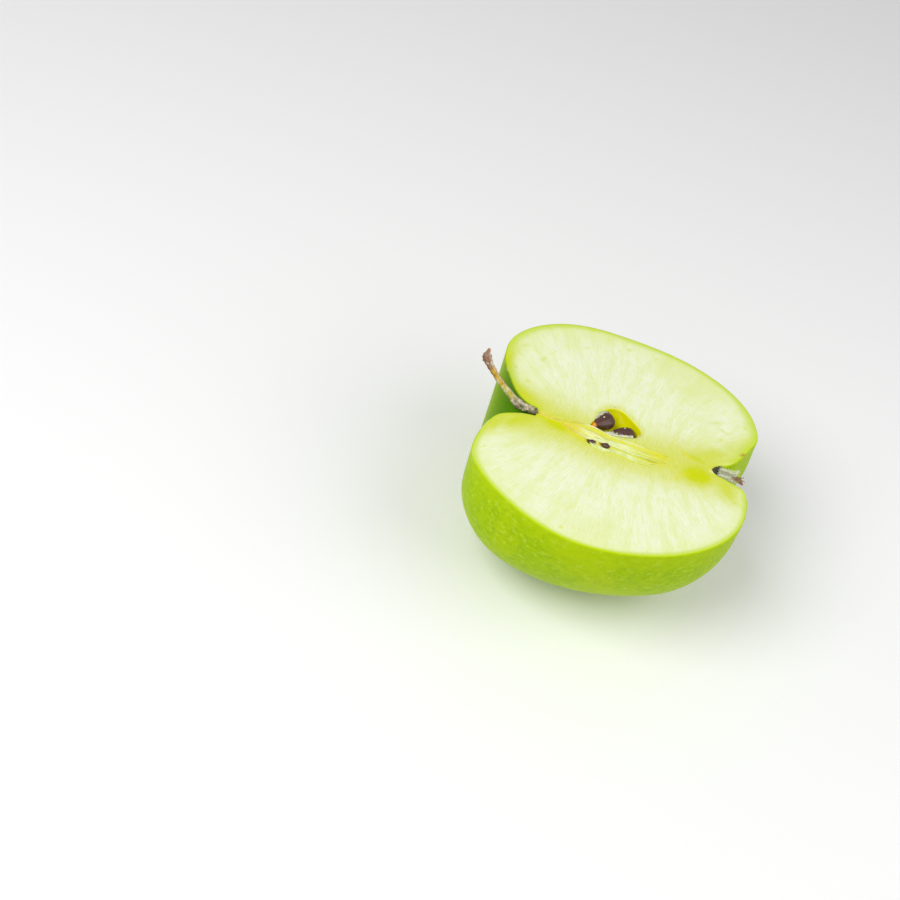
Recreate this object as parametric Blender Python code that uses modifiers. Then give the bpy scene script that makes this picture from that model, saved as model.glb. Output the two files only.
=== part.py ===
"""Half of a green eating apple, cut lengthwise through its stem and its calyx.

The half lies on its round back with the cut face level and up. The design is
written in the core's own frame: +X runs along the core from the stem end to
the calyx end, +Y points to the fuller lobe, +Z points up out of the cut face,
and the cut face is Z = 0. One empty carries everything to the finished frame,
whose origin is on the small flat spot that the half rests on.
"""
import math

import bmesh
import bpy
from mathutils import Matrix, Vector

MM = 0.001

# Whole fruit, as points of its outline: distance along the core, and radius
CAVITY_FLOOR_X = -12.7 * MM
CAVITY_BOTTOM = Vector((-13.3, 1.4)) * MM
STEM_SHOULDER = Vector((-25.4, 19.5)) * MM
EQUATOR = Vector((3.2, 38.7)) * MM
CALYX_SHOULDER = Vector((42.8, 13.0)) * MM
TUBE_MOUTH = Vector((34.6, 1.7)) * MM
TUBE_THROAT = Vector((33.4, 0.9)) * MM
TUBE_FLOOR_X = 32.8 * MM

# How the outline leaves and meets those points, as the offsets of its handles
CAVITY_OUT = Vector((-6.4, 0.4)) * MM
SHOULDER_IN = Vector((0.0, -10.0)) * MM
SHOULDER_OUT = Vector((0.0, 9.5)) * MM
EQUATOR_IN = Vector((-15.0, 0.0)) * MM
EQUATOR_OUT = Vector((23.0, 0.0)) * MM
CALYX_IN = Vector((0.0, 13.8)) * MM
CALYX_OUT = Vector((0.0, -5.5)) * MM
TUBE_IN = Vector((3.8, 1.0)) * MM
CAVITY_STEPS, STEM_SIDE_STEPS, CALYX_SIDE_STEPS, BASIN_STEPS = 9, 11, 12, 8
TURN_STEPS = 80
MERGE_DISTANCE = 0.01 * MM
CUT_TOLERANCE = 0.0001 * MM
SHARP_ANGLE = math.radians(35.0)

# The core lies off the middle of the fruit, most of all inside its two hollows
CORE_OFFSET = 1.35 * MM
CORE_REACH = 5.0 * MM
HOLLOW_RADIUS = 8.0 * MM
HOLLOW_WIDTH = 5.0 * MM
STEM_HOLLOW_SKEW = 0.8
CALYX_HOLLOW_SKEW = 2.0

# What else makes the fruit uneven: it leans, it is deeper than wide, its smaller
# lobe is full at the equator, ribs meet at the calyx, and a valley cuts its rim there
LEAN = 2.3 * MM
LEAN_MIDDLE_X = 8.6 * MM
LEAN_HALF_LENGTH = 34.5 * MM
DEPTH_GAIN = 1.044
NEAR_LOBE_GAIN = 0.024
NEAR_LOBE_X = 5.0 * MM
NEAR_LOBE_WIDTH = 15.0 * MM
RIB_COUNT = 5
RIB_GAIN = 0.035
RIB_TURN = math.radians(16.0)
VALLEY_DEPTH = 1.8 * MM
VALLEY_TURN = math.radians(-70.0)
VALLEY_WIDTH = math.radians(24.0)

# Swells and dents: angle round the core and its width in degrees, place along
# the core and its width in mm, and the share that the radius gains or loses
SWELLS = (
    (-145.0, 24.0, -20.0, 14.0, 0.085),
    (-112.0, 32.0, 34.0, 10.0, 0.045),
    (180.0, 22.0, -22.0, 12.0, -0.045),
)

# Flat spot under the half, and the height of the cut face above it
CUT_HEIGHT = 39.5 * MM
REST_X = 4.0 * MM

# Open seed chamber: a bowed pod along the core, pointed at both ends
CHAMBER_MIDDLE = Vector((7.0, 5.75, 0.0)) * MM
CHAMBER_HALF_LENGTH = 6.9 * MM
CHAMBER_HALF_WIDTH = 4.75 * MM
CHAMBER_DEPTH = 5.6 * MM
CHAMBER_BOW = 1.6 * MM
CHAMBER_WIDTH_ROUNDNESS = 0.7
CHAMBER_DEPTH_ROUNDNESS = 0.6
CHAMBER_TURN_STEPS = 28
CHAMBER_LENGTH_STEPS = 16

# Full-grown seed, and the room between a seed and what holds it
SEED_LENGTH = 7.0 * MM
SEED_WIDTH = 4.8 * MM
SEED_THICKNESS = 3.7 * MM
SEED_TAPER = 1.1
SEED_FULLEST = 0.755
SEED_PROFILE_STEPS = 9
SEED_TURN_STEPS = 16
FIT_GAP = 0.35 * MM

# Each seed: its middle in mm, then heading, pitch and roll in degrees, and its size
SEEDS = {
    "seed_1": ((3.35, 5.85, -1.3), (54.0, -8.0, 6.0), 1.0),
    "seed_2": ((9.0, 4.2, -2.2), (12.0, 4.0, -10.0), 1.0),
    "seed_3": ((1.95, -3.8, -0.45), (-19.0, 0.0, 10.0), 0.36),
    "seed_4": ((5.5, -3.6, -0.4), (-14.0, 0.0, -8.0), 0.38),
}

# Stem: points of its middle line in mm, with the thickness there
STEM_LINE = (
    ((-13.5, -0.1, 0.2), 1.7),
    ((-15.0, -0.2, 0.3), 1.7),
    ((-16.6, -0.3, 0.5), 2.0),
    ((-18.0, -0.3, 0.8), 2.5),
    ((-19.0, 0.1, 1.2), 2.2),
    ((-20.4, 0.9, 1.8), 1.8),
    ((-22.5, 1.9, 2.8), 1.65),
    ((-24.6, 3.0, 3.9), 1.6),
    ((-26.4, 4.2, 4.9), 1.65),
    ((-27.8, 5.2, 5.8), 1.95),
    ((-28.9, 6.3, 6.5), 2.3),
    ((-29.2, 7.4, 7.1), 1.8),
    ((-29.1, 8.5, 7.6), 1.1),
)
STEM_SMOOTHNESS = 3

# Dried calyx: a cup with pointed sepals, and a tuft of dry stamens inside it
CALYX_MIDDLE = Vector((0.0, 0.1, -0.5)) * MM
CUP_START_X = 35.1 * MM
CUP_LENGTH = 2.4 * MM
CUP_RADIUS = 1.15 * MM
CUP_WALL = 0.45 * MM
CUP_FLARE = 0.3 * MM
CUP_TOP = 0.4 * MM
CUP_TURN_STEPS = 24

# Each sepal's place round the cup and its spread, in degrees, and its length
SEPALS = (
    (205.0, 0.0, 2.6),
    (248.0, 3.0, 3.3),
    (292.0, 7.0, 3.4),
    (338.0, 9.0, 3.0),
    (22.0, 18.0, 3.4),
)
SEPAL_WIDTH = 1.6 * MM
SEPAL_THICKNESS = 0.5 * MM
SEPAL_ROOT = 0.45
TUFT_START_X = 37.0 * MM
TUFT_TIPS = ((40.6, 0.4, 0.4), (41.3, -0.6, 0.0), (39.9, -1.9, 0.5))
TUFT_THICKNESS = 0.75 * MM
BLADE_SIDES = 10
BLADE_TIP = 0.24

# Colour and roughness of each material
GREEN_SKIN = ((0.39, 0.55, 0.01), 0.35)
SEED_COAT = ((0.045, 0.018, 0.012), 0.3)
STEM_BARK = ((0.30, 0.20, 0.05), 0.75)
SEPAL_WOOL = ((0.46, 0.50, 0.32), 0.9)
DRY_STAMEN = ((0.16, 0.10, 0.06), 0.9)


def remove_everything():
    for thing in list(bpy.data.objects):
        bpy.data.objects.remove(thing, do_unlink=True)


def new_collection(name):
    collection = bpy.data.collections.new(name)
    bpy.context.scene.collection.children.link(collection)
    return collection


def plain_material(name, colour, roughness):
    material = bpy.data.materials.new(name)
    material.use_nodes = True
    shader = material.node_tree.nodes["Principled BSDF"]
    shader.inputs["Base Color"].default_value = (*colour, 1.0)
    shader.inputs["Roughness"].default_value = roughness
    shader.inputs["Metallic"].default_value = 0.0
    return material


def new_object(name, mesh, collection, carrier, material=None):
    thing = bpy.data.objects.new(name, mesh)
    collection.objects.link(thing)
    thing.parent = carrier
    if material is not None:
        mesh.materials.clear()
        mesh.materials.append(material)
    return thing


def mesh_from(thing):
    """The object's finished mesh, with its modifiers worked in, as new data."""
    graph = bpy.context.evaluated_depsgraph_get()
    return bpy.data.meshes.new_from_object(thing.evaluated_get(graph))


def edit_mesh(mesh, action):
    """Run one bmesh action on a mesh and write the result back."""
    work = bmesh.new()
    work.from_mesh(mesh)
    action(work)
    work.to_mesh(mesh)
    work.free()


def slice_off(mesh, height, upward):
    """Cut a closed mesh level at a height, keep the side named, and close the cut."""
    def cut(work):
        everything = work.verts[:] + work.edges[:] + work.faces[:]
        result = bmesh.ops.bisect_plane(
            work, geom=everything, dist=CUT_TOLERANCE, plane_co=(0.0, 0.0, height),
            plane_no=(0.0, 0.0, 1.0), clear_outer=not upward, clear_inner=upward)
        rim = [edge for edge in result["geom_cut"] if isinstance(edge, bmesh.types.BMEdge)]
        bmesh.ops.edgeloop_fill(work, edges=rim)
        bmesh.ops.recalc_face_normals(work, faces=work.faces[:])
    edit_mesh(mesh, cut)


def bezier(start, start_offset, end_offset, end, steps):
    """Points of one curve, from its start up to but without its end."""
    points = []
    for step in range(steps):
        t = step / steps
        s = 1.0 - t
        points.append(start * s ** 3 + (start + start_offset) * (3 * s * s * t)
                      + (end + end_offset) * (3 * s * t * t) + end * t ** 3)
    return points


def fruit_outline():
    """The whole fruit's outline, from the stem cavity's floor to the calyx tube's."""
    outline = [Vector((CAVITY_FLOOR_X, 0.0))]
    outline += bezier(CAVITY_BOTTOM, CAVITY_OUT, SHOULDER_IN, STEM_SHOULDER, CAVITY_STEPS)
    outline += bezier(STEM_SHOULDER, SHOULDER_OUT, EQUATOR_IN, EQUATOR, STEM_SIDE_STEPS)
    outline += bezier(EQUATOR, EQUATOR_OUT, CALYX_IN, CALYX_SHOULDER, CALYX_SIDE_STEPS)
    outline += bezier(CALYX_SHOULDER, CALYX_OUT, TUBE_IN, TUBE_MOUTH, BASIN_STEPS)
    outline += [TUBE_MOUTH, TUBE_THROAT, Vector((TUBE_FLOOR_X, 0.0))]
    return outline


def turned(name, outline, steps, carrier, collection):
    """Turn an outline of (x, radius) points about the X axis, as a mesh."""
    mesh = bpy.data.meshes.new(name)
    points = [(point.x, point.y, 0.0) for point in reversed(outline)]
    mesh.from_pydata(points, [(i, i + 1) for i in range(len(points) - 1)], [])
    thing = new_object(name, mesh, collection, carrier)
    screw = thing.modifiers.new("turn", "SCREW")
    screw.axis = "X"
    screw.steps = steps
    screw.render_steps = steps
    screw.use_merge_vertices = True
    screw.merge_threshold = MERGE_DISTANCE
    result = mesh_from(thing)
    bpy.data.objects.remove(thing, do_unlink=True)
    return result


def hump(value, middle, width):
    return math.exp(-((value - middle) / width) ** 2)


def turn_hump(turn, middle, width):
    return hump(math.remainder(turn - middle, math.tau), 0.0, width)


def core_offset(x, radius):
    """How far the fruit's surface at this radius lies from being centred on the core."""
    skew = CALYX_HOLLOW_SKEW if x > EQUATOR.x else STEM_HOLLOW_SKEW
    away = 1.0 - hump(radius, 0.0, CORE_REACH)
    return CORE_OFFSET * away * (1.0 + skew * hump(radius, HOLLOW_RADIUS, HOLLOW_WIDTH))


def swell(x, turn):
    """The share that the fruit's radius gains from its swells."""
    total = 0.0
    for angle, angle_width, middle_x, width_x, gain in SWELLS:
        total += (gain * turn_hump(turn, math.radians(angle), math.radians(angle_width))
                  * hump(x, middle_x * MM, width_x * MM))
    return total


def grow_uneven(mesh):
    """Move the turned fruit's points to the uneven shape of a grown one."""
    for vertex in mesh.vertices:
        x, y, z = vertex.co
        radius = math.hypot(y, z)
        turn = math.atan2(z, y)
        near_lobe = NEAR_LOBE_GAIN * math.cos(turn) * hump(x, NEAR_LOBE_X, NEAR_LOBE_WIDTH)
        calyx_share = max(0.0, (x - EQUATOR.x) / (CALYX_SHOULDER.x - EQUATOR.x))
        rim_share = calyx_share ** 2 * min(1.0, radius / CALYX_SHOULDER.y)
        rib = RIB_GAIN * rim_share * math.cos(RIB_COUNT * turn + RIB_TURN)
        valley = VALLEY_DEPTH * rim_share * turn_hump(turn, VALLEY_TURN, VALLEY_WIDTH)
        gain = 1.0 - near_lobe + swell(x, turn) + rib
        along = (x - LEAN_MIDDLE_X) / LEAN_HALF_LENGTH
        lean = LEAN * max(0.0, 1.0 - along * along)
        vertex.co.y = y * gain + core_offset(x, radius)
        vertex.co.z = z * gain * DEPTH_GAIN
        vertex.co.x = x - lean * vertex.co.y / EQUATOR.y - valley


def chamber_mesh():
    """The pod that the open seed chamber leaves, as a mesh that cuts it out."""
    mesh = bpy.data.meshes.new("chamber")

    def shape(work):
        lying = Matrix.Rotation(math.radians(90.0), 4, "Y")
        bmesh.ops.create_uvsphere(work, u_segments=CHAMBER_TURN_STEPS, v_segments=CHAMBER_LENGTH_STEPS,
                                  radius=1.0, matrix=lying)
        for vertex in work.verts:
            s, across, down = vertex.co
            fullness = max(0.0, 1.0 - s * s)
            half_width = CHAMBER_HALF_WIDTH * fullness ** CHAMBER_WIDTH_ROUNDNESS
            depth = CHAMBER_DEPTH * fullness ** CHAMBER_DEPTH_ROUNDNESS
            around = Vector((across, down)).normalized()
            vertex.co = CHAMBER_MIDDLE + Vector((
                s * CHAMBER_HALF_LENGTH,
                half_width * around.x - CHAMBER_BOW * s * s,
                depth * around.y))
        bmesh.ops.recalc_face_normals(work, faces=work.faces[:])
    edit_mesh(mesh, shape)
    return mesh


def seed_mesh(name, carrier, collection, growth=0.0):
    """A drop-shaped seed with its tip at -X, thicker all round by the growth."""
    outline = []
    for step in range(SEED_PROFILE_STEPS + 1):
        angle = math.pi * step / SEED_PROFILE_STEPS
        radius = math.sin(angle) * math.sin(angle / 2.0) ** SEED_TAPER / SEED_FULLEST
        outline.append(Vector((-math.cos(angle) * (SEED_LENGTH / 2.0 + growth),
                               radius * (SEED_WIDTH / 2.0 + growth))))
    outline[0].y = 0.0
    outline[-1].y = 0.0
    mesh = turned(name, outline, SEED_TURN_STEPS, carrier, collection)
    flat = (SEED_THICKNESS / 2.0 + growth) / (SEED_WIDTH / 2.0 + growth)
    mesh.transform(Matrix.Diagonal((1.0, 1.0, flat, 1.0)))
    return mesh


def seed_place(middle, turns, size):
    heading, pitch, roll = (math.radians(angle) for angle in turns)
    return (Matrix.Translation(Vector(middle) * MM)
            @ Matrix.Rotation(heading, 4, "Z")
            @ Matrix.Rotation(-pitch, 4, "Y")
            @ Matrix.Rotation(roll, 4, "X")
            @ Matrix.Scale(size, 4))


def make_seeds(carrier, parts, cutters, material):
    """The four seeds, and for each a slightly larger cutter that makes its room."""
    rooms = []
    for name, (middle, turns, size) in SEEDS.items():
        place = seed_place(middle, turns, size)
        mesh = seed_mesh(name, carrier, parts)
        mesh.transform(place)
        new_object(name, mesh, parts, carrier, material)
        shade_round(mesh)
        room = seed_mesh("room_of_" + name, carrier, cutters, FIT_GAP / size)
        room.transform(place)
        rooms.append(hide_cutter(new_object("room_of_" + name, room, cutters, carrier)))
    return rooms


def hide_cutter(thing):
    thing.display_type = "WIRE"
    thing.hide_render = True
    return thing


def shade_round(mesh):
    mesh.shade_smooth()
    mesh.set_sharp_from_angle(angle=SHARP_ANGLE)


def make_half(carrier, parts, material, cutters):
    """The half itself: one solid of skin and flesh, with its chamber cut open."""
    mesh = turned("apple_half", fruit_outline(), TURN_STEPS, carrier, parts)
    grow_uneven(mesh)
    slice_off(mesh, 0.0, upward=False)
    slice_off(mesh, -CUT_HEIGHT, upward=True)
    half = new_object("apple_half", mesh, parts, carrier, material)
    for cutter in cutters:
        cut = half.modifiers.new("cut_" + cutter.name, "BOOLEAN")
        cut.operation = "DIFFERENCE"
        cut.object = cutter
    half.modifiers.new("small_faces", "TRIANGULATE")
    shade_round(mesh)
    return half


def make_stem(carrier, parts, material):
    """The bent stem, a tube whose thickness changes along its line."""
    curve = bpy.data.curves.new("stem", "CURVE")
    curve.dimensions = "3D"
    curve.bevel_depth = MM / 2.0
    curve.bevel_resolution = STEM_SMOOTHNESS
    curve.resolution_u = STEM_SMOOTHNESS
    curve.use_fill_caps = True
    spline = curve.splines.new("NURBS")
    spline.points.add(len(STEM_LINE) - 1)
    spline.order_u = STEM_SMOOTHNESS
    spline.use_endpoint_u = True
    for point, (place, thickness) in zip(spline.points, STEM_LINE):
        point.co = (*(Vector(place) * MM), 1.0)
        point.radius = thickness
    stem = bpy.data.objects.new("stem", curve)
    parts.objects.link(stem)
    stem.parent = carrier
    curve.materials.append(material)


def flat_cone(work, base, tip, width, thickness, outward):
    """Add one pointed blade from its base to its tip, flat across its outward side."""
    along = (tip - base).normalized()
    side = along.cross(outward).normalized()
    normal = side.cross(along)
    frame = Matrix((side, normal, along)).transposed().to_4x4()
    frame.translation = (base + tip) / 2.0
    shape = frame @ Matrix.Diagonal((width, thickness, (tip - base).length, 1.0))
    bmesh.ops.create_cone(work, cap_ends=True, segments=BLADE_SIDES, radius1=0.5,
                          radius2=0.5 * BLADE_TIP, depth=1.0, matrix=shape)


def blade_mesh(name, base, tip, width, thickness, outward):
    mesh = bpy.data.meshes.new(name)
    edit_mesh(mesh, lambda work: flat_cone(work, base, tip, width, thickness, outward))
    return mesh


def cup_mesh(carrier, parts):
    """The short cup below the sepals, open at both ends, cut level with its top."""
    inner = CUP_RADIUS - CUP_WALL
    end_x = CUP_START_X + CUP_LENGTH
    outline = [Vector((CUP_START_X, inner)), Vector((CUP_START_X, CUP_RADIUS)),
               Vector((end_x, CUP_RADIUS + CUP_FLARE)), Vector((end_x, inner + CUP_FLARE)),
               Vector((CUP_START_X, inner))]
    mesh = turned("cup", outline, CUP_TURN_STEPS, carrier, parts)
    mesh.transform(Matrix.Translation(CALYX_MIDDLE))
    slice_off(mesh, CUP_TOP, upward=False)
    return mesh


def fuse(name, meshes, carrier, parts, cutters, material):
    """Join closed meshes into one solid with a Boolean union."""
    adds = bpy.data.collections.new("joined_into_" + name)
    cutters.children.link(adds)
    whole = new_object(name, meshes[0], parts, carrier, material)
    for index, mesh in enumerate(meshes[1:]):
        new_object(f"{name}_add_{index}", mesh, adds, carrier)
    union = whole.modifiers.new("join", "BOOLEAN")
    union.operation = "UNION"
    union.operand_type = "COLLECTION"
    union.collection = adds
    joined = mesh_from(whole)
    whole.modifiers.remove(union)
    joined.materials.clear()
    joined.materials.append(material)
    whole.data = joined
    shade_round(joined)
    for thing in list(adds.objects):
        bpy.data.objects.remove(thing, do_unlink=True)
    bpy.data.collections.remove(adds)
    return whole


def make_sepals(carrier, parts, cutters, material):
    """The pale dried sepals: a cup with five pointed blades."""
    meshes = [cup_mesh(carrier, parts)]
    middle_radius = CUP_RADIUS - CUP_WALL / 2.0
    for index, (angle, spread, length) in enumerate(SEPALS):
        turn = math.radians(angle)
        lift = math.radians(spread)
        outward = Vector((0.0, math.cos(turn), math.sin(turn)))
        base_x = CUP_START_X + CUP_LENGTH * SEPAL_ROOT
        base = CALYX_MIDDLE + Vector((base_x, 0.0, 0.0)) + outward * middle_radius
        reach = Vector((math.cos(lift), 0.0, 0.0)) + outward * math.sin(lift)
        tip = base + reach * length * MM
        meshes.append(blade_mesh(f"sepal_{index}", base, tip, SEPAL_WIDTH, SEPAL_THICKNESS, outward))
    return fuse("sepals", meshes, carrier, parts, cutters, material)


def make_tuft(carrier, parts, cutters, material):
    """The brown dry stamens, a tuft that stands out of the sepals."""
    meshes = []
    base = CALYX_MIDDLE + Vector((TUFT_START_X, 0.0, 0.0))
    up = Vector((0.0, 0.0, 1.0))
    for index, tip in enumerate(TUFT_TIPS):
        meshes.append(blade_mesh(f"spike_{index}", base, Vector(tip) * MM,
                                 TUFT_THICKNESS, TUFT_THICKNESS, up))
    return fuse("dry_stamens", meshes, carrier, parts, cutters, material)


def main():
    remove_everything()
    parts = new_collection("apple_half_parts")
    cutters = new_collection("cutters")
    carrier = bpy.data.objects.new("core_frame", None)
    parts.objects.link(carrier)
    carrier.location = (-REST_X, 0.0, CUT_HEIGHT)

    seeds = make_seeds(carrier, parts, cutters, plain_material("seed_coat", *SEED_COAT))
    chamber = hide_cutter(new_object("chamber", chamber_mesh(), cutters, carrier))
    make_half(carrier, parts, plain_material("green_skin", *GREEN_SKIN), [chamber, *seeds])
    make_stem(carrier, parts, plain_material("stem_bark", *STEM_BARK))
    make_sepals(carrier, parts, cutters, plain_material("sepal_wool", *SEPAL_WOOL))
    make_tuft(carrier, parts, cutters, plain_material("dry_stamen", *DRY_STAMEN))


main()
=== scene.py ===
"""The finished look of one half of a green apple: waxy skin, wet pale flesh with its core
cut open, glossy seeds in their chamber, a bent woody stem and a dried, woolly calyx.

Shapes are worked out in millimetres in the core's own frame: +X runs along the core from
the stem end to the calyx end, +Y points to the fuller lobe, +Z points up out of the cut
face, and the cut face is Z = 0. to_row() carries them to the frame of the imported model.
"""

import math

import bmesh
import bpy
import numpy as np
from bpy.props import FloatProperty, FloatVectorProperty, IntProperty, PointerProperty
from mathutils import Matrix, Vector, geometry, noise


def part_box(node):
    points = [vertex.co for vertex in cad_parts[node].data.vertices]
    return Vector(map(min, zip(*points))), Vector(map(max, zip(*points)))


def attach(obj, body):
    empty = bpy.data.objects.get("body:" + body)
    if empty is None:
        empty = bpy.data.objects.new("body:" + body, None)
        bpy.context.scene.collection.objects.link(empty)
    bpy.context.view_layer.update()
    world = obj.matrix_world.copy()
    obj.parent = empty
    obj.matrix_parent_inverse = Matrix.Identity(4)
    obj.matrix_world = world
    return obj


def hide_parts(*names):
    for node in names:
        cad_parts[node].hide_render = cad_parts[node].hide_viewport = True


bl_info = {
    "name": "Green fruit half",
    "version": (1, 0, 0),
    "blender": (4, 5, 0),
    "location": "3D View > Sidebar > Fruit",
    "description": "Builds one cut half of a green apple, piece by piece, and the plain stage it lies on",
    "category": "Object",
}

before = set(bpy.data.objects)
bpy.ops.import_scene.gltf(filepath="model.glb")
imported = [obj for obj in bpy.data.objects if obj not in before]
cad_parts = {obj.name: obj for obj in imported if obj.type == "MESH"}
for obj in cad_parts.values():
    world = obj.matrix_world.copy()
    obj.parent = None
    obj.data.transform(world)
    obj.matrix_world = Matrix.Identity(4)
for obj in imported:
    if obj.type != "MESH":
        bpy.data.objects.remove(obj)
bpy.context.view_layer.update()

MM = 0.001
REST_X = 4.0
HALF_LOW, HALF_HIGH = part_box("apple_half")
CUT_HEIGHT = (HALF_HIGH.z - HALF_LOW.z) / MM

# Whole fruit, as points of its outline: distance along the core, and radius
CAVITY_FLOOR = np.array((-12.7, 0.0))
CAVITY_BOTTOM = np.array((-13.3, 1.4))
STEM_SHOULDER = np.array((-25.4, 19.5))
EQUATOR = np.array((3.2, 38.7))
CALYX_SHOULDER = np.array((42.8, 13.0))
TUBE_MOUTH = np.array((34.6, 1.7))
TUBE_THROAT = np.array((33.4, 0.9))
TUBE_FLOOR = np.array((32.8, 0.0))

# Each stretch of the outline: its start, the handle it leaves by, the handle it arrives
# by, its end, and its steps
OUTLINE_STRETCHES = (
    (CAVITY_BOTTOM, (-6.4, 0.4), (0.0, -10.0), STEM_SHOULDER, 34),
    (STEM_SHOULDER, (0.0, 9.5), (-15.0, 0.0), EQUATOR, 44),
    (EQUATOR, (23.0, 0.0), (0.0, 13.8), CALYX_SHOULDER, 58),
    (CALYX_SHOULDER, (0.0, -5.5), (3.8, 1.0), TUBE_MOUTH, 34),
)
CAVITY_STEPS = OUTLINE_STRETCHES[0][4]
TUBE_STEPS = 4

# The painted shade of the stem hollow reaches a little past the cavity. The painted shade of the calyx
# tube starts some steps before its mouth, and is full a few steps on
HOLLOW_SHADE_REACH = 1.2
TUBE_SHADE_LEAD = 4
TUBE_SHADE_FADE = 3.0

# What makes the fruit uneven: an off-centre core, a lean, depth, ribs, a valley in the
# calyx end's rim, swells and dents
CORE_OFFSET = 1.35
CORE_REACH = 5.0
HOLLOW_RADIUS = 8.0
HOLLOW_WIDTH = 5.0
STEM_HOLLOW_SKEW = 0.8
CALYX_HOLLOW_SKEW = 2.0
LEAN = 2.3
LEAN_MIDDLE_X = 8.6
LEAN_HALF_LENGTH = 34.5
DEPTH_GAIN = 1.044
NEAR_LOBE_GAIN = 0.024
NEAR_LOBE_X = 5.0
NEAR_LOBE_WIDTH = 15.0
RIB_COUNT = 5
RIB_GAIN = 0.035
RIB_TURN = math.radians(16.0)
VALLEY_DEPTH = 1.8
VALLEY_TURN = math.radians(-70.0)
VALLEY_WIDTH = math.radians(24.0)
SWELLS = (
    (-145.0, 24.0, -20.0, 14.0, 0.085),
    (-112.0, 32.0, 34.0, 10.0, 0.045),
    (180.0, 22.0, -22.0, 12.0, -0.045),
)

# Edge of the open seed chamber in the cut face, and its depth
CHAMBER_EDGE = (
    (1.3, 3.8), (1.75, 5.2), (2.0, 6.8), (3.0, 8.4), (4.3, 9.8), (6.0, 10.5), (8.0, 10.1),
    (10.0, 8.6), (12.2, 6.7), (13.4, 5.2), (13.4, 3.4), (11.8, 2.1), (9.4, 1.3), (6.6, 0.7),
    (4.4, 0.8), (2.4, 0.9), (1.0, 1.3), (0.8, 2.6),
)
CHAMBER_MIDDLE = np.array((7.2, 5.3))
CHAMBER_FULLNESS = 2.3

# Seeds: middle in mm, then heading, pitch and roll in degrees, and size
SEED_LENGTH = 7.0
SEED_WIDTH = 4.8
SEED_THICKNESS = 3.7
SEED_POINTEDNESS = 1.1
SEED_PROFILE_PEAK = 0.755
SEED_RIDGES = 0.02
SEED_DENTS = 0.02
SEEDS = {
    "seed_1": ((3.4, 5.3, -1.2), (54.0, -8.0, 6.0), 1.07),
    "seed_2": ((9.0, 4.2, -2.2), (12.0, 4.0, -10.0), 1.0),
    "seed_3": ((1.95, -3.8, -0.32), (-19.0, 0.0, 10.0), 0.36),
    "seed_4": ((5.45, -3.5, -0.22), (-14.0, 0.0, -8.0), 0.38),
}

# Bundles of fibre along the core: route in the cut face, half width of the ridge, height
STRANDS = (
    ("upper", ((-3.5, 0.3), (-1.0, 0.5), (1.6, 0.7), (4.0, 0.1), (6.6, -0.6), (10.8, -0.6),
               (13.6, -0.8), (17.1, -1.0), (20.8, -0.9)), 0.55, 0.34),
    ("middle", ((-6.3, -0.5), (-3.6, -0.4), (-0.6, -0.7), (2.4, -1.2), (5.4, -1.8),
                (9.2, -2.1), (13.2, -2.2), (17.3, -2.2), (20.4, -1.7)), 0.50, 0.30),
    ("lower", ((-6.2, -0.9), (-2.8, -2.2), (0.4, -3.1), (3.6, -2.8), (7.0, -3.1),
               (10.6, -3.5), (13.8, -3.7), (17.0, -3.6), (20.6, -3.4)), 0.40, 0.24),
    ("stalk", ((-12.6, -0.15), (-10.4, -0.1), (-8.3, -0.35), (-6.0, -0.2), (-3.0, 0.1)), 0.40, 0.10),
    ("outer", ((1.8, -4.8), (3.6, -5.5), (5.8, -5.7), (8.5, -5.0), (11.6, -5.3),
               (14.6, -5.6), (18.1, -5.4)), 0.30, 0.10),
)
CORE_LINE = ((-12.4, -0.8), (-6.0, -1.3), (0.0, -2.0), (8.0, -3.4), (20.0, -2.0), (31.0, -0.8))
STEM_GROOVE = ((-12.8, -0.1), (-10.2, -0.1), (-8.3, -0.3), (-6.5, -0.2))
SLITS = (((14.2, -3.2), (15.8, -3.9), (17.5, -4.3), (19.0, -4.0)), ((2.8, -1.9), (4.6, -2.3)))

# Part of the cut face with finely spaced points, and how far loose points keep from its edges
CORE_BOX_LOW = np.array((-14.5, -8.0))
CORE_BOX_HIGH = np.array((24.0, 12.5))
RIM_CLEARANCE = 0.22
CHAMBER_CLEARANCE = 0.14

# Relief of the cut face in mm, and how many waves there are to a mm. A seed's pocket starts
# where its oval patch is stronger than POCKET_START
WAVE_HEIGHT = 0.05
WAVE_SCALE = 0.13
RELIEF_START = 1.5
STRAND_FADE = 2.5
SLIT_DEPTH = 0.06
SLIT_WIDTH = 0.3
GROOVE_WIDTH = 0.35
POCKET_DEPTH = 0.55
POCKET_START = 0.35
POCKET_STEEPNESS = 3.0
POCKET_LENGTH_SHARE = 0.62
POCKET_WIDTH_SHARE = 0.68
SKIN_GROOVE_PLACE = 0.45
SKIN_GROOVE_WIDTH = 0.35
CHAMBER_LIP_DROP = 0.18
CHAMBER_LIP_WIDTH = 0.35

# Ripples of the chamber's wall, and how softly the flat spot under the back starts, in mm
WALL_RIPPLE = 0.25
WALL_RIPPLE_SCALE = 0.35
FLAT_SPOT_SOFTNESS = 0.08

# Tints of the flesh: how far they reach in mm, and how strong they are
HAZE_REACH = 8.8
HAZE_STRENGTH = 0.95
HALO_REACH = 1.5
HALO_STRENGTH = 0.8
BUNDLE_REACH = 0.8
BUNDLE_STRENGTH = 0.75
SLIT_REACH = 0.2
GROOVE_REACH = 0.22
GROOVE_STRENGTH = 0.45

# Width of the green rim against its usual one: round the core, and what the fuller lobe and
# the stem end add to it, in full at these distances in mm
RIM_WIDTH = 0.75
FULL_LOBE_RIM_GAIN = 0.55
FULL_LOBE_RIM_REACH = 12.0
STEM_END_RIM_GAIN = 0.25
STEM_END_RIM_REACH = 20.0

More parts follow.
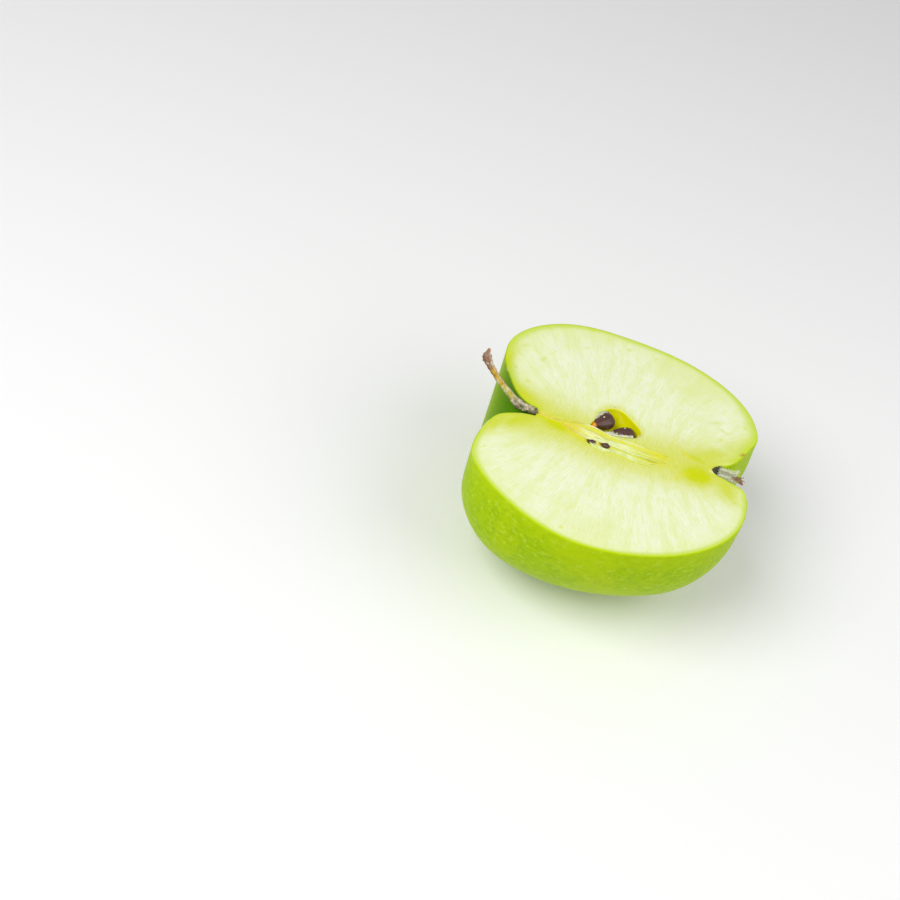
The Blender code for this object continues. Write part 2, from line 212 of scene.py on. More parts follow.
# White skin left on the seeds: label, seed, a point at its limit, the way it thickens from
# there, and how far it lies off the seed
VEILS = (
    ("veil_on_first_seed", "seed_1", (2.7, 5.8, -0.6), (-0.5, 0.36, 0.2), 0.12),
    ("veil_on_second_seed", "seed_2", (7.95, 3.0, 0.0), (-0.4, -0.5, 0.0), 0.14),
)

# Painted highlights on the seeds, made as small white membrane flecks: label, seed, and place in the cut
# face
GLINT_FLECKS = (
    ("fleck_on_first_seed", "seed_1", (3.5, 5.4)),
    ("fleck_on_second_seed", "seed_2", (9.3, 5.0)),
)
FLECK_REACH = 0.3
FLECK_LIFT = 0.05

# Torn strips that stand up round the chamber: label, route, height, lean, and steps
TORN_STRIPS = (
    ("torn_lip", ((4.4, 0.7, -0.1), (6.6, 0.6, -0.1), (9.0, 1.1, -0.1), (11.0, 1.7, -0.1),
                  (12.0, 2.1, -0.1)), 0.3, 0.8, 14),
    ("scrap_far", ((4.2, 9.9, -0.3), (5.0, 10.4, -0.3), (5.9, 10.6, -0.3)), 0.5, 0.3, 10),
    ("scrap_right", ((13.5, 4.0, -0.3), (13.4, 3.2, -0.3), (12.8, 2.6, -0.3)), 0.45, -0.3, 10),
)
VEIL_THICKNESS = 0.06
VEIL_RAGGEDNESS = 0.35
STRIP_THICKNESS = 0.08
STRIP_WAVINESS = 0.16
STRIP_FULL_SHARE = 0.85
STRIP_RAGGEDNESS = 0.55
STRIP_TAPER_STEPS = 4.0
STRIP_END_CUT = 0.3

# Fibres that follow each guide line: counts, sizes in metres, and waves to a metre. Guide
# lines of the core lie at a share of their ridge's height
CORE_GUIDE_SHARE = 0.55
CORE_FIBRES = {"Fibres": 9, "Spread": 0.0005, "Waver": 0.0007, "Waver Scale": 110.0, "Step": 0.0004}
STAMEN_FIBRES = {"Fibres": 3, "Thickness": 0.00009, "Spread": 0.00035, "Waver": 0.0007,
                 "Waver Scale": 260.0, "Step": 0.0003}
WOOL_THICKNESS = 0.00003

# The two ends of the core, which the streaks in the flesh spread from
STREAK_ENDS = np.array(((-13.0, 0.2), (31.5, -0.8)))

# Tints in the flesh: x, y, half length, half width, turn in degrees and strength
GREEN_PATCHES = (
    (29.4, -3.8, 3.6, 3.0, 14.0, 1.6),
    (-7.4, -2.0, 4.4, 1.9, -12.0, 1.2),
    (-10.8, -0.8, 2.6, 1.2, -5.0, 1.0),
    (-1.0, -4.2, 4.0, 1.2, -16.0, 0.5),
    (-7.0, 1.3, 3.0, 0.9, 12.0, 0.45),
    (32.6, 5.6, 6.0, 2.3, 28.0, 0.65),
    (28.4, 1.8, 3.0, 1.0, -14.0, 0.9),
    (36.8, 9.6, 5.0, 2.8, 55.0, 0.55),
    (37.5, -6.2, 4.6, 2.4, -60.0, 0.85),
    (-17.0, 5.2, 5.4, 2.2, 140.0, 0.85),
    (-17.5, -5.4, 5.4, 2.3, 220.0, 0.9),
    (-24.2, 14.5, 8.0, 1.7, 82.0, 0.8),
    (-21.6, -8.0, 6.0, 1.8, 61.0, 0.9),
    (-21.9, 14.0, 0.9, 0.4, -40.0, 0.8),
    (-15.6, 20.0, 1.1, 0.5, 60.0, 0.6),
    (-13.6, 23.2, 0.8, 0.5, 60.0, 0.4),
    (-21.2, 23.1, 1.3, 0.6, 40.0, 0.5),
    (33.6, 14.9, 1.4, 0.4, -30.0, 0.5),
    (31.0, 16.9, 1.8, 0.4, 30.0, 0.4),
)
YELLOW_PATCHES = (
    (-2.6, -0.8, 4.0, 0.7, 2.0, 1.0),
    (18.6, -1.6, 3.4, 1.2, -4.0, 0.75),
    (19.4, -3.8, 2.4, 0.8, -4.0, 0.6),
    (25.4, 2.2, 3.2, 0.35, -35.0, 0.6),
    (25.6, -5.6, 3.4, 0.4, 48.0, 0.5),
    (-1.8, -3.6, 3.4, 1.0, -20.0, 0.5),
    (7.0, -5.6, 6.0, 0.8, -4.0, 0.35),
)
PALE_PATCHES = (
    (1.8, -1.9, 2.6, 0.8, -12.0, 0.9),
    (8.5, -2.6, 3.0, 0.7, -6.0, 0.5),
    (32.9, -0.7, 1.0, 0.6, 10.0, 0.7),
    # This thin pale line along the upper edge of the calyx notch is a painted highlight on the cut edge
    (36.2, 3.7, 2.4, 0.3, 27.0, 0.6),
)

BROWN_MARKS = ((39.6, 8.6, 0.75, 0.4, 38.0, 0.85),)

# Stem: points of its middle line in mm, with the thickness there
STEM_LINE = (
    ((-13.1, -0.1, -0.2), 1.3),
    ((-13.7, -0.1, 0.15), 1.75),
    ((-15.0, -0.2, 0.35), 1.8),
    ((-16.6, -0.3, 0.6), 2.0),
    ((-18.0, -0.25, 0.95), 2.35),
    ((-19.0, 0.15, 1.4), 2.0),
    ((-20.4, 0.9, 2.0), 1.65),
    ((-22.5, 1.9, 2.9), 1.5),
    ((-24.6, 3.0, 3.9), 1.42),
    ((-26.4, 4.2, 4.9), 1.55),
    ((-27.8, 5.2, 5.8), 1.85),
    ((-28.7, 6.1, 6.4), 2.15),
    ((-29.1, 6.9, 6.9), 2.0),
    ((-29.15, 7.3, 7.1), 1.3),
    ((-29.1, 8.0, 7.4), 1.0),
    ((-29.05, 8.5, 7.6), 0.75),
)

# Ridges round the stem: how many, how high, and how far they twist
STEM_RIDGES = ((5.0, 0.5, 2.0), (9.0, 0.3, 0.0))

# Rougher parts of the stem: middle and reach as shares of its length, and the bark's gain
STEM_FOOT = (0.12, 0.14, 1.6)
STEM_KNOB = (0.88, 0.07, 1.4)
BARK_BUMP_GAIN = 1.8

# Dried calyx: each sepal's place round the cup and its spread, in degrees, its length, and
# how far its tip curls out; then the tips of the withered ones at the very end
CALYX_MIDDLE = np.array((0.0, 0.1, -0.5))
CUP_START_X = 34.8
CUP_RADIUS = 0.9
SEPALS = (
    (205.0, 0.0, 3.6, 0.1),
    (248.0, 3.0, 4.3, -0.3),
    (292.0, 7.0, 4.6, 0.3),
    (338.0, 6.0, 4.3, 0.7),
    (22.0, 4.0, 4.5, 0.9),
)
SEPAL_WIDTH = 2.3
SEPAL_THICKNESS = 0.34
SEPAL_CUP = 0.25
BLADE_BLUNTNESS = 2.2
BLADE_TIP_HALF_WIDTH = 0.04
BLADE_THINNING = 0.6
BLADE_WRINKLE = 0.3
BLADE_SWAY = 0.6
WITHERED_ROOT = (39.1, -0.6, -0.2)
WITHERED_TIPS = (
    (40.6, 0.35, 0.3), (41.2, -0.65, -0.05), (39.9, -1.75, 0.35), (41.0, -1.3, -0.5),
    (40.4, -0.2, -0.6),
)
WITHERED_WIDTH = 0.85
WITHERED_THICKNESS = 0.28
WITHERED_CUP = 0.1
WITHERED_BOWS = ((0.0, 0.12, -0.1), (0.0, 0.12, 0.2))
STAMEN_ROOT = (38.2, -0.4, -0.3)
STAMEN_BOW = 0.12
STAMEN_TIPS = (
    (40.3, 0.1, 0.1), (40.9, -0.4, -0.3), (40.5, -1.0, 0.2), (39.8, -1.4, -0.2), (39.4, -0.5, 0.4),
)

# Lights of the stage in metres: place, and width. Both aim at the middle of the half
KEY_PLACE = (-0.32, -0.30, 0.55)
KEY_WIDTH = 0.45
FILL_PLACE = (0.42, -0.12, 0.42)
FILL_WIDTH = 0.6
LIGHT_AIM = (0.0, 0.0, 0.02)
FLOOR_SIZE = 3.0

# Camera: its place in the core's frame, its right and back directions, and its lens in mm
CAMERA_PLACE = (-14.91, -275.83, 252.53)
CAMERA_RIGHT = Vector((0.9491, 0.2487, 0.1935))
CAMERA_BACK = Vector((0.0418, -0.7079, 0.7050))
CAMERA_LENS = 60.0
CAMERA_SENSOR = 36.0


def seen(red, green, blue):
    """A colour given as it shows on a screen, from 0 to 255, as linear values."""
    share = np.array((red, green, blue)) / 255.0
    return tuple(float(s) for s in np.where(share <= 0.04045, share / 12.92,
                                            ((share + 0.055) / 1.055) ** 2.4))


def size(name, default, description):
    return FloatProperty(name=name, description=description, default=default, min=0.0, max=1.0,
                         unit="LENGTH", precision=5)


def tint(name, default, description):
    return FloatVectorProperty(name=name, description=description, default=default, size=3,
                               subtype="COLOR", min=0.0, max=1.0)


# Fixed tints that the user's colours are mixed with
SKIN_CLEAR = seen(150, 190, 0)
SKIN_RIM = seen(180, 208, 0)
# Painted reflection of the pale floor on the skin's underside
SKIN_UNDER_REFLECTION = seen(186, 208, 110)
# Painted shade of the stem hollow
SKIN_HOLLOW_SHADE = seen(70, 126, 0)
CUT_GLINT = seen(240, 248, 206)
# Painted shade inside the calyx tube, dark and grey
TUBE_SHADE_DARK = seen(62, 72, 50)
TUBE_SHADE_GREY = seen(120, 122, 94)
SCAR_BROWN = seen(168, 104, 52)
RIM_HAZE = seen(220, 234, 120)
RIM_SPECK = seen(222, 226, 92)
SLIT_YELLOW = seen(200, 192, 30)
LINING_GRAIN = seen(236, 236, 40)
STALK_YELLOW = seen(240, 216, 56)
STRAND_GRAIN = seen(244, 244, 190)
MEMBRANE_WHITE = seen(244, 246, 244)
KNOB_GREY = seen(176, 150, 134)
SPUR_RED = seen(206, 128, 96)
BARK_LINE = seen(226, 196, 148)
# Painted highlight and painted shade for the two sides of the stem
BARK_PAINTED_HIGHLIGHT = seen(240, 216, 182)
BARK_PAINTED_SHADE = seen(120, 90, 40)
BARK_PATCH = seen(140, 100, 40)
BARK_GRAIN = seen(96, 70, 44)
# Pale spots on the bark, painted glints
BARK_PALE_GLINT = seen(222, 216, 196)
FOOT_DARK = seen(92, 94, 74)
FOOT_GLINT = seen(196, 206, 202)
SEPAL_LINE = seen(170, 184, 120)
SEPAL_FELT = seen(240, 242, 222)
WOOL_WHITE = seen(250, 249, 232)
WOOL_GREEN = seen(228, 230, 196)
WITHERED_PALE = seen(186, 150, 112)
WITHERED_DARK = seen(72, 46, 34)
FLOOR_CLOUD = (0.9, 0.9, 0.9)


class HalfSizes(bpy.types.PropertyGroup):
    """Sizes of the finished half that a user may change."""
    edge_rounding: size("Edge rounding", 0.00028, "How round the skin's cut edge is")
    groove_depth: size("Edge groove", 0.00004, "How far the flesh has shrunk below the skin's edge")
    chamber_depth: size("Chamber depth", 0.0052, "Depth of the open seed chamber")
    face_step: size("Flesh step", 0.00062, "Distance between points of the cut face")
    core_step: size("Core step", 0.00024, "Distance between points of the cut face round the core")
    strand_thickness: size("Strand thickness", 0.00015, "Half thickness of one fibre of the core")
    bark_depth: size("Bark depth", 0.00009, "How rough the stem's bark is")
    wool_length: size("Wool length", 0.0009, "Length of the hairs on the sepals")
    wool_density: FloatProperty(name="Wool density", default=2.2e7, min=0.0,
                                description="Hairs on each square metre of the sepals")


class HalfColours(bpy.types.PropertyGroup):
    """Colours of the finished half that a user may change."""
    skin: tint("Skin", seen(160, 194, 0), "Main green of the skin")
    skin_deep: tint("Deep skin", seen(138, 180, 0), "Darker green of the skin and of its hollows")
    skin_pale: tint("Pale skin", seen(182, 208, 0), "Paler green below the cut edge")
    lenticel: tint("Lenticels", seen(202, 222, 84), "Pale dots of the skin")
    flesh: tint("Flesh", seen(241, 247, 222), "Pale flesh")
    flesh_streak: tint("Flesh streaks", seen(222, 233, 134), "Streaks that spread from the core")
    flesh_edge: tint("Flesh edge", seen(198, 222, 30), "Flesh just inside the skin")
    flesh_green: tint("Green flesh", seen(206, 217, 0), "Greenest flesh, at the ends of the core")
    core_haze: tint("Core haze", seen(214, 220, 72), "Flesh round the core")
    core_yellow: tint("Core yellow", seen(228, 222, 30), "Yellowest parts of the core")
    lining: tint("Chamber lining", seen(238, 236, 0), "Glossy wall of the seed chamber")
    lining_pale: tint("Pale lining", seen(242, 240, 84), "Paler patches of the chamber's wall")
    strand: tint("Strands", seen(248, 245, 178), "Fibres of the core")
    seed: tint("Seed", seen(70, 38, 32), "Dark coat of a ripe seed")
    seed_ridge: tint("Seed ridges", seen(122, 80, 64), "Lighter lines on the seed's coat")
    seed_tip: tint("Seed tip", seen(246, 158, 10), "Orange point of a seed")
    membrane: tint("Membrane", seen(226, 228, 214), "Torn white skin round the seeds")
    bark: tint("Stem bark", seen(222, 182, 30), "Ochre middle of the stem")
    bark_dark: tint("Dark bark", seen(158, 120, 100), "Brown knob of the stem")
    bark_green: tint("Green bark", seen(206, 206, 60), "Yellow-green lower part of the stem")
    bark_grey: tint("Grey bark", seen(168, 164, 132), "Rough grey foot of the stem")
    sepal: tint("Sepals", seen(236, 240, 206), "Pale woolly sepals")
    sepal_cream: tint("Sepal tips", seen(244, 232, 192), "Cream tips of the sepals")
    withered: tint("Withered tips", seen(170, 132, 104), "Brown withered tips and stamens")


class StageLook(bpy.types.PropertyGroup):
    """Floor and lights of the plain stage."""
    floor: tint("Floor", (0.96, 0.96, 0.96), "Pale floor")
    key_power: FloatProperty(name="Key light", default=2.8, min=0.0, unit="POWER",
                             description="Large soft light from the left front")
    fill_power: FloatProperty(name="Fill light", default=1.3, min=0.0, unit="POWER",
                              description="Large soft light from the right")
    sky: FloatProperty(name="Sky", default=0.40, min=0.0, description="Even light from all round")
    seed: IntProperty(name="Seed", default=7, min=0, description="Start of every random draw")


def to_row(points):
    """Points in mm in the core's frame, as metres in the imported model's frame."""
    return (np.asarray(points, float) + (-REST_X, 0.0, CUT_HEIGHT)) * MM


def hump(value, middle, width):
    return np.exp(-((value - middle) / width) ** 2)


def wrapped(turn):
    return np.remainder(turn + math.pi, math.tau) - math.pi


def unit(vectors):
    """The same vectors, each with length one."""
    return vectors / np.linalg.norm(vectors, axis=-1, keepdims=True)


def smooth_line(points, steps, closed=False):
    """A smooth line through the points, with that many steps between each two."""
    points = np.asarray(points, float)
    count = len(points)
    t = np.linspace(0.0, 1.0, steps, endpoint=False)[:, None]
    stretches = []
    for i in range(count if closed else count - 1):
        near = [(i + k) % count if closed else min(max(i + k, 0), count - 1) for k in (-1, 0, 1, 2)]
        a, b, c, d = points[near]
        stretches.append(0.5 * (2 * b + (c - a) * t + (2 * a - 5 * b + 4 * c - d) * t ** 2
                                + (3 * b - a - 3 * c + d) * t ** 3))
    if not closed:
        stretches.append(points[-1:])
    return np.concatenate(stretches)


def rough(points, scale, octaves=3):
    """Smooth noise about zero at each point, with features about 1 / scale apart."""
    return np.array([noise.fractal(Vector(p) * scale, 0.6, 2.1, octaves) for p in np.asarray(points)])


def distance_to_line(points, line, closed=False):
    """How far each point of the cut face is from a line of straight stretches."""
    line = np.asarray(line, float)
    ends = np.roll(line, -1, axis=0) if closed else line[1:]
    best = np.full(len(points), np.inf)
    for start, end in zip(line, ends):
        along = end - start
        share = np.clip((points - start) @ along / max(along @ along, 1e-12), 0.0, 1.0)
        best = np.minimum(best, np.linalg.norm(points - start - share[:, None] * along, axis=1))
    return best


def inside(points, outline):
    """True for each point that lies within a closed outline in the cut face."""
    crossings = np.zeros(len(points), bool)
    for (ax, ay), (bx, by) in zip(outline, np.roll(outline, -1, axis=0)):
        level = (ay > points[:, 1]) != (by > points[:, 1])
        reach = ax + (points[:, 1] - ay) * (bx - ax) / ((by - ay) or 1e-12)
        crossings ^= level & (points[:, 0] < reach)
    return crossings


def even_points(low, high, step):
    """Points in staggered rows, a step apart, over a box in the cut face."""
    rows = np.arange(low[1], high[1], step * math.sqrt(3.0) / 2.0)
    columns = np.arange(low[0], high[0], step)
    x, y = np.meshgrid(columns, rows)
    x[1::2] += step / 2.0
    return np.column_stack((x.ravel(), y.ravel()))


def add_object(name, data):
    """A new object in the scene that shows a mesh, a light or a camera."""
    thing = bpy.data.objects.new(name, data)
    bpy.context.scene.collection.objects.link(thing)
    return thing


def mesh_with_modifiers(thing, name):
    """The object's mesh as its modifiers leave it, as a mesh of its own."""
    graph = bpy.context.evaluated_depsgraph_get()
    mesh = bpy.data.meshes.new_from_object(thing.evaluated_get(graph))
    mesh.name = name
    return mesh


def make_object(name, points, faces, materials, face_slots=None, closed=True):
    """A smooth mesh object from points in mm in the core's frame."""
    mesh = bpy.data.meshes.new(name)
    mesh.from_pydata(to_row(points).tolist(), [], faces)
    for material in materials:
        mesh.materials.append(material)
    if face_slots is not None:
        mesh.polygons.foreach_set("material_index", face_slots)
    if closed:
        work = bmesh.new()
        work.from_mesh(mesh)
        bmesh.ops.recalc_face_normals(work, faces=work.faces[:])
        work.to_mesh(mesh)
        work.free()
    mesh.shade_smooth()
    return add_object(name, mesh)


def give(thing, name, values):
    """Store one value, or one vector, for each of the mesh's points."""
    values = np.asarray(values, np.float32)
    vector = values.ndim == 2
    layer = thing.data.attributes.new(name, "FLOAT_VECTOR" if vector else "FLOAT", "POINT")
    layer.data.foreach_set("vector" if vector else "value", values.ravel())


def capped(rings):
    """The values of all rings as one list, then the middle of the first and the last ring."""
    return np.concatenate((rings.reshape(-1, 3), rings[:1].mean(axis=1), rings[-1:].mean(axis=1)))


def band(first, second, sides):
    """Faces between two closed rings of points, given by the number of their first point."""
    pairs = [(j, (j + 1) % sides) for j in range(sides)]
    return [(first + j, second + j, second + k, first + k) for j, k in pairs]


def ringed(rings):
    """Points and faces of one closed surface over rings of points, capped at both ends."""
    count, sides = rings.shape[:2]
    points = capped(rings)
    faces = []
    for i in range(count - 1):
        faces += band(i * sides, (i + 1) * sides, sides)
    last = (count - 1) * sides
    for j in range(sides):
        k = (j + 1) % sides
        faces.append((count * sides, j, k))
        faces.append((count * sides + 1, last + k, last + j))
    return points, faces


def merge_shapes(shapes):
    """Several (points, faces) as one."""
    points, faces = [], []
    start = 0
    for some_points, some_faces in shapes:
        points.append(some_points)
        faces += [tuple(start + i for i in face) for face in some_faces]
        start += len(some_points)
    return np.concatenate(points), faces


class Graph:
    """A node tree that is being filled in."""

    def __init__(self, tree):
        self.tree = tree
        self.count = 0

    def add(self, kind, inputs=None, **settings):
        """A new node with its settings, and its inputs as values or as sockets to link."""
        node = self.tree.nodes.new(kind)
        node.location = (200.0 * self.count, -120.0 * (self.count % 5))
        self.count += 1
        for name, value in settings.items():
            setattr(node, name, value)
        for name, value in (inputs or {}).items():
            if isinstance(value, bpy.types.NodeSocket):
                self.tree.links.new(value, node.inputs[name])
            else:
                node.inputs[name].default_value = value
        return node

    def place(self):
        return self.add("ShaderNodeTexCoord").outputs["Object"]

    def value(self, name):
        return self.add("ShaderNodeAttribute", attribute_name=name).outputs["Fac"]

    def vector(self, name):
        return self.add("ShaderNodeAttribute", attribute_name=name).outputs["Vector"]

    def parts(self, vector):
        return self.add("ShaderNodeSeparateXYZ", {0: vector}).outputs

    def math(self, operation, a, b=0.0, c=0.0):
        return self.add("ShaderNodeMath", {0: a, 1: b, 2: c}, operation=operation).outputs[0]

    def remap(self, value, low, high, out_low=0.0, out_high=1.0, kind="SMOOTHSTEP"):
        return self.add("ShaderNodeMapRange", {"Value": value, "From Min": low, "From Max": high,
                                               "To Min": out_low, "To Max": out_high},
                        interpolation_type=kind).outputs["Result"]

    def noise(self, vector, scale, detail=3.0, roughness=0.55):
        return self.add("ShaderNodeTexNoise", {"Vector": vector, "Scale": scale, "Detail": detail,
                                               "Roughness": roughness}).outputs["Fac"]

    def mix(self, share, a, b):
        """A colour between two, each given as linear values or as a socket."""
        a, b = (c if isinstance(c, bpy.types.NodeSocket) else (*c, 1.0) for c in (a, b))
        return self.add("ShaderNodeMix", {0: share, 6: a, 7: b}, data_type="RGBA",
                        clamp_factor=True).outputs[2]

    def bump(self, height, strength, distance, below=None):
        inputs = {"Height": height, "Strength": strength, "Distance": distance}
        if below is not None:
            inputs["Normal"] = below
        return self.add("ShaderNodeBump", inputs).outputs["Normal"]


def shader_group(name, inputs, outputs):
    """An empty shader node group with float or vector inputs and float outputs."""
    tree = bpy.data.node_groups.new(name, "ShaderNodeTree")
    for label, default in inputs:
        kind = "NodeSocketVector" if default is None else "NodeSocketFloat"
        socket = tree.interface.new_socket(label, in_out="INPUT", socket_type=kind)
        if default is not None:
            socket.default_value = default
    for label in outputs:
        tree.interface.new_socket(label, in_out="OUTPUT", socket_type="NodeSocketFloat")
    graph = Graph(tree)
    return graph, graph.add("NodeGroupInput").outputs, graph.add("NodeGroupOutput").inputs


def grain_group():
    """Fine grain at two scales: a soft mask for colour and a height for relief."""
    graph, given, result = shader_group(
        "fine_grain", (("Vector", None), ("Scale", 900.0), ("Contrast", 0.5)), ("Mask", "Height"))
    coarse = graph.noise(given["Vector"], given["Scale"], 4.0, 0.6)
    finer_scale = graph.math("MULTIPLY", given["Scale"], 3.1)
    fine = graph.noise(given["Vector"], finer_scale, 2.0, 0.5)
    both = graph.math("MULTIPLY_ADD", fine, 0.35, graph.math("MULTIPLY", coarse, 0.65))
    low = graph.math("MULTIPLY_ADD", given["Contrast"], -0.35, 0.5)
    graph.tree.links.new(graph.remap(both, low, 0.72), result["Mask"])
    graph.tree.links.new(both, result["Height"])
    return graph.tree


def streak_group():
    """Streaks that run along the vector's Y and change across its X."""
    graph, given, result = shader_group(
        "long_streaks", (("Vector", None), ("Across", 1.0), ("Along", 0.12), ("Threshold", 0.5)),
        ("Mask", "Height"))
    parts = graph.parts(given["Vector"])
    across = graph.math("MULTIPLY", parts["X"], given["Across"])
    along = graph.math("MULTIPLY", parts["Y"], given["Along"])
    stretched = graph.add("ShaderNodeCombineXYZ", {"X": across, "Y": along, "Z": parts["Z"]}).outputs[0]
    pattern = graph.noise(stretched, 1.0, 4.0, 0.62)
    high = graph.math("ADD", given["Threshold"], 0.2)
    graph.tree.links.new(graph.remap(pattern, given["Threshold"], high), result["Mask"])
    graph.tree.links.new(pattern, result["Height"])
    return graph.tree


def speck_group():
    """Small separate specks of uneven size, and none where the draw leaves one out."""
    graph, given, result = shader_group(
        "small_specks", (("Vector", None), ("Scale", 500.0), ("Size", 0.2), ("Share", 0.5)), ("Mask",))
    cells = graph.add("ShaderNodeTexVoronoi", {"Vector": given["Vector"], "Scale": given["Scale"]})
    draw = graph.add("ShaderNodeSeparateColor", {0: cells.outputs["Color"]}).outputs
    reach = graph.math("MULTIPLY", given["Size"], graph.remap(draw["Green"], 0.0, 1.0, 0.45, 1.0))
    dot = graph.remap(cells.outputs["Distance"], reach, graph.math("MULTIPLY", reach, 0.35))
    kept = graph.math("LESS_THAN", draw["Red"], given["Share"])
    graph.tree.links.new(graph.math("MULTIPLY", dot, kept), result["Mask"])
    return graph.tree


def effect(graph, name, **inputs):
    """One of the shared effects placed in a material, with its own values."""
    return graph.add("ShaderNodeGroup", inputs, node_tree=bpy.data.node_groups[name]).outputs


def surface(name, **settings):
    """A new material: its graph, and its Principled shader with plain values set on it."""
    material = bpy.data.materials.new(name)
    material.use_nodes = True
    shader = material.node_tree.nodes["Principled BSDF"]
    for label, value in settings.items():
        shader.inputs[label.replace("_", " ")].default_value = value
    return material, Graph(material.node_tree), shader


def connect(graph, shader, **sockets):
    for label, socket in sockets.items():
        graph.tree.links.new(socket, shader.inputs[label.replace("_", " ")])


def colours():
    return bpy.context.scene.half_colours


def sizes():
    return bpy.context.scene.half_sizes


def skin_material():
    """Waxy yellow-green skin with pale dots; painted shade darkens its stem hollow and the calyx tube,
    and a painted reflection of the pale floor makes it paler low down.
    """
    tints = colours()
    material, graph, shader = surface(
        "waxy_skin", IOR=1.45, Specular_IOR_Level=0.03, Coat_Roughness=0.2, Coat_IOR=1.4,
        Subsurface_Weight=0.08, Subsurface_Scale=0.001)
    shader.inputs["Subsurface Radius"].default_value = (0.9, 1.0, 0.2)
    place = graph.place()
    along = graph.add("ShaderNodeMapping", {"Vector": place, "Scale": (0.7, 1.0, 1.0)}).outputs[0]
    broad = graph.noise(place, 42.0, 2.0, 0.5)
    clouds = graph.noise(along, 560.0, 4.0, 0.65)
    grain = effect(graph, "fine_grain", Vector=place, Scale=900.0, Contrast=0.6)
    dots = effect(graph, "small_specks", Vector=along, Scale=640.0, Size=0.25, Share=0.6)
    large_dots = effect(graph, "small_specks", Vector=along, Scale=300.0, Size=0.17, Share=0.5)
    blotches = graph.noise(along, 780.0, 3.0, 0.55)
    base = graph.mix(graph.remap(clouds, 0.45, 0.56), tints.skin, tints.skin_deep)
    base = graph.mix(graph.remap(broad, 0.55, 0.4, 0.0, 0.6), base, SKIN_CLEAR)
    base = graph.mix(graph.remap(broad, 0.5, 0.64, 0.0, 0.5), base, tints.skin_pale)
    base = graph.mix(graph.remap(blotches, 0.52, 0.7, 0.0, 0.45), base, tints.lenticel)
    base = graph.mix(graph.math("MULTIPLY", grain["Mask"], 0.6), base, tints.skin_pale)
    from_cut = graph.value("from_cut")
    base = graph.mix(graph.remap(from_cut, 7.0, 0.0, 0.0, 0.5), base, SKIN_RIM)
    # Painted reflection of the pale floor: paler, greyer green far from the cut, low on the skin
    base = graph.mix(graph.remap(from_cut, 14.0, 40.0, 0.0, 0.35), base, SKIN_UNDER_REFLECTION)
    dotted = graph.math("MAXIMUM", dots["Mask"], large_dots["Mask"])
    dotted = graph.math("MULTIPLY", dotted, graph.remap(broad, 0.35, 0.6, 0.22, 0.5))
    base = graph.mix(dotted, base, tints.lenticel)
    # Painted shade: darker green in the stem hollow
    base = graph.mix(graph.remap(graph.value("hollow_shade"), 0.0, 0.7, 0.0, 0.95), base, SKIN_HOLLOW_SHADE)
    lip = graph.remap(from_cut, 0.35, 0.05)
    base = graph.mix(graph.math("MULTIPLY", lip, 0.5), base, tints.flesh_edge)
    glint = graph.math("MULTIPLY", graph.remap(from_cut, 0.35, 0.15, 0.0, 0.5),
                       graph.remap(graph.noise(place, 150.0, 1.0, 0.5), 0.58, 0.68))
    base = graph.mix(glint, base, CUT_GLINT)
    # Painted shade: the calyx tube is dark grey-green, and rougher
    tube = graph.value("tube")
    base = graph.mix(tube, base, graph.mix(grain["Mask"], TUBE_SHADE_DARK, TUBE_SHADE_GREY))
    dull = graph.remap(grain["Height"], 0.35, 0.65, 0.3, 0.46, "LINEAR")
    roughness = graph.math("MAXIMUM", dull, graph.math("MULTIPLY", tube, 0.8))
    coat = graph.remap(clouds, 0.3, 0.7, 0.03, 0.01, "LINEAR")
    base = graph.mix(graph.value("mark"), base, SCAR_BROWN)
    relief = graph.bump(grain["Height"], 0.8, 0.00025)
    relief = graph.bump(dotted, 0.4, 0.00008, relief)
    connect(graph, shader, Base_Color=base, Roughness=roughness, Coat_Weight=coat, Normal=relief)
    return material


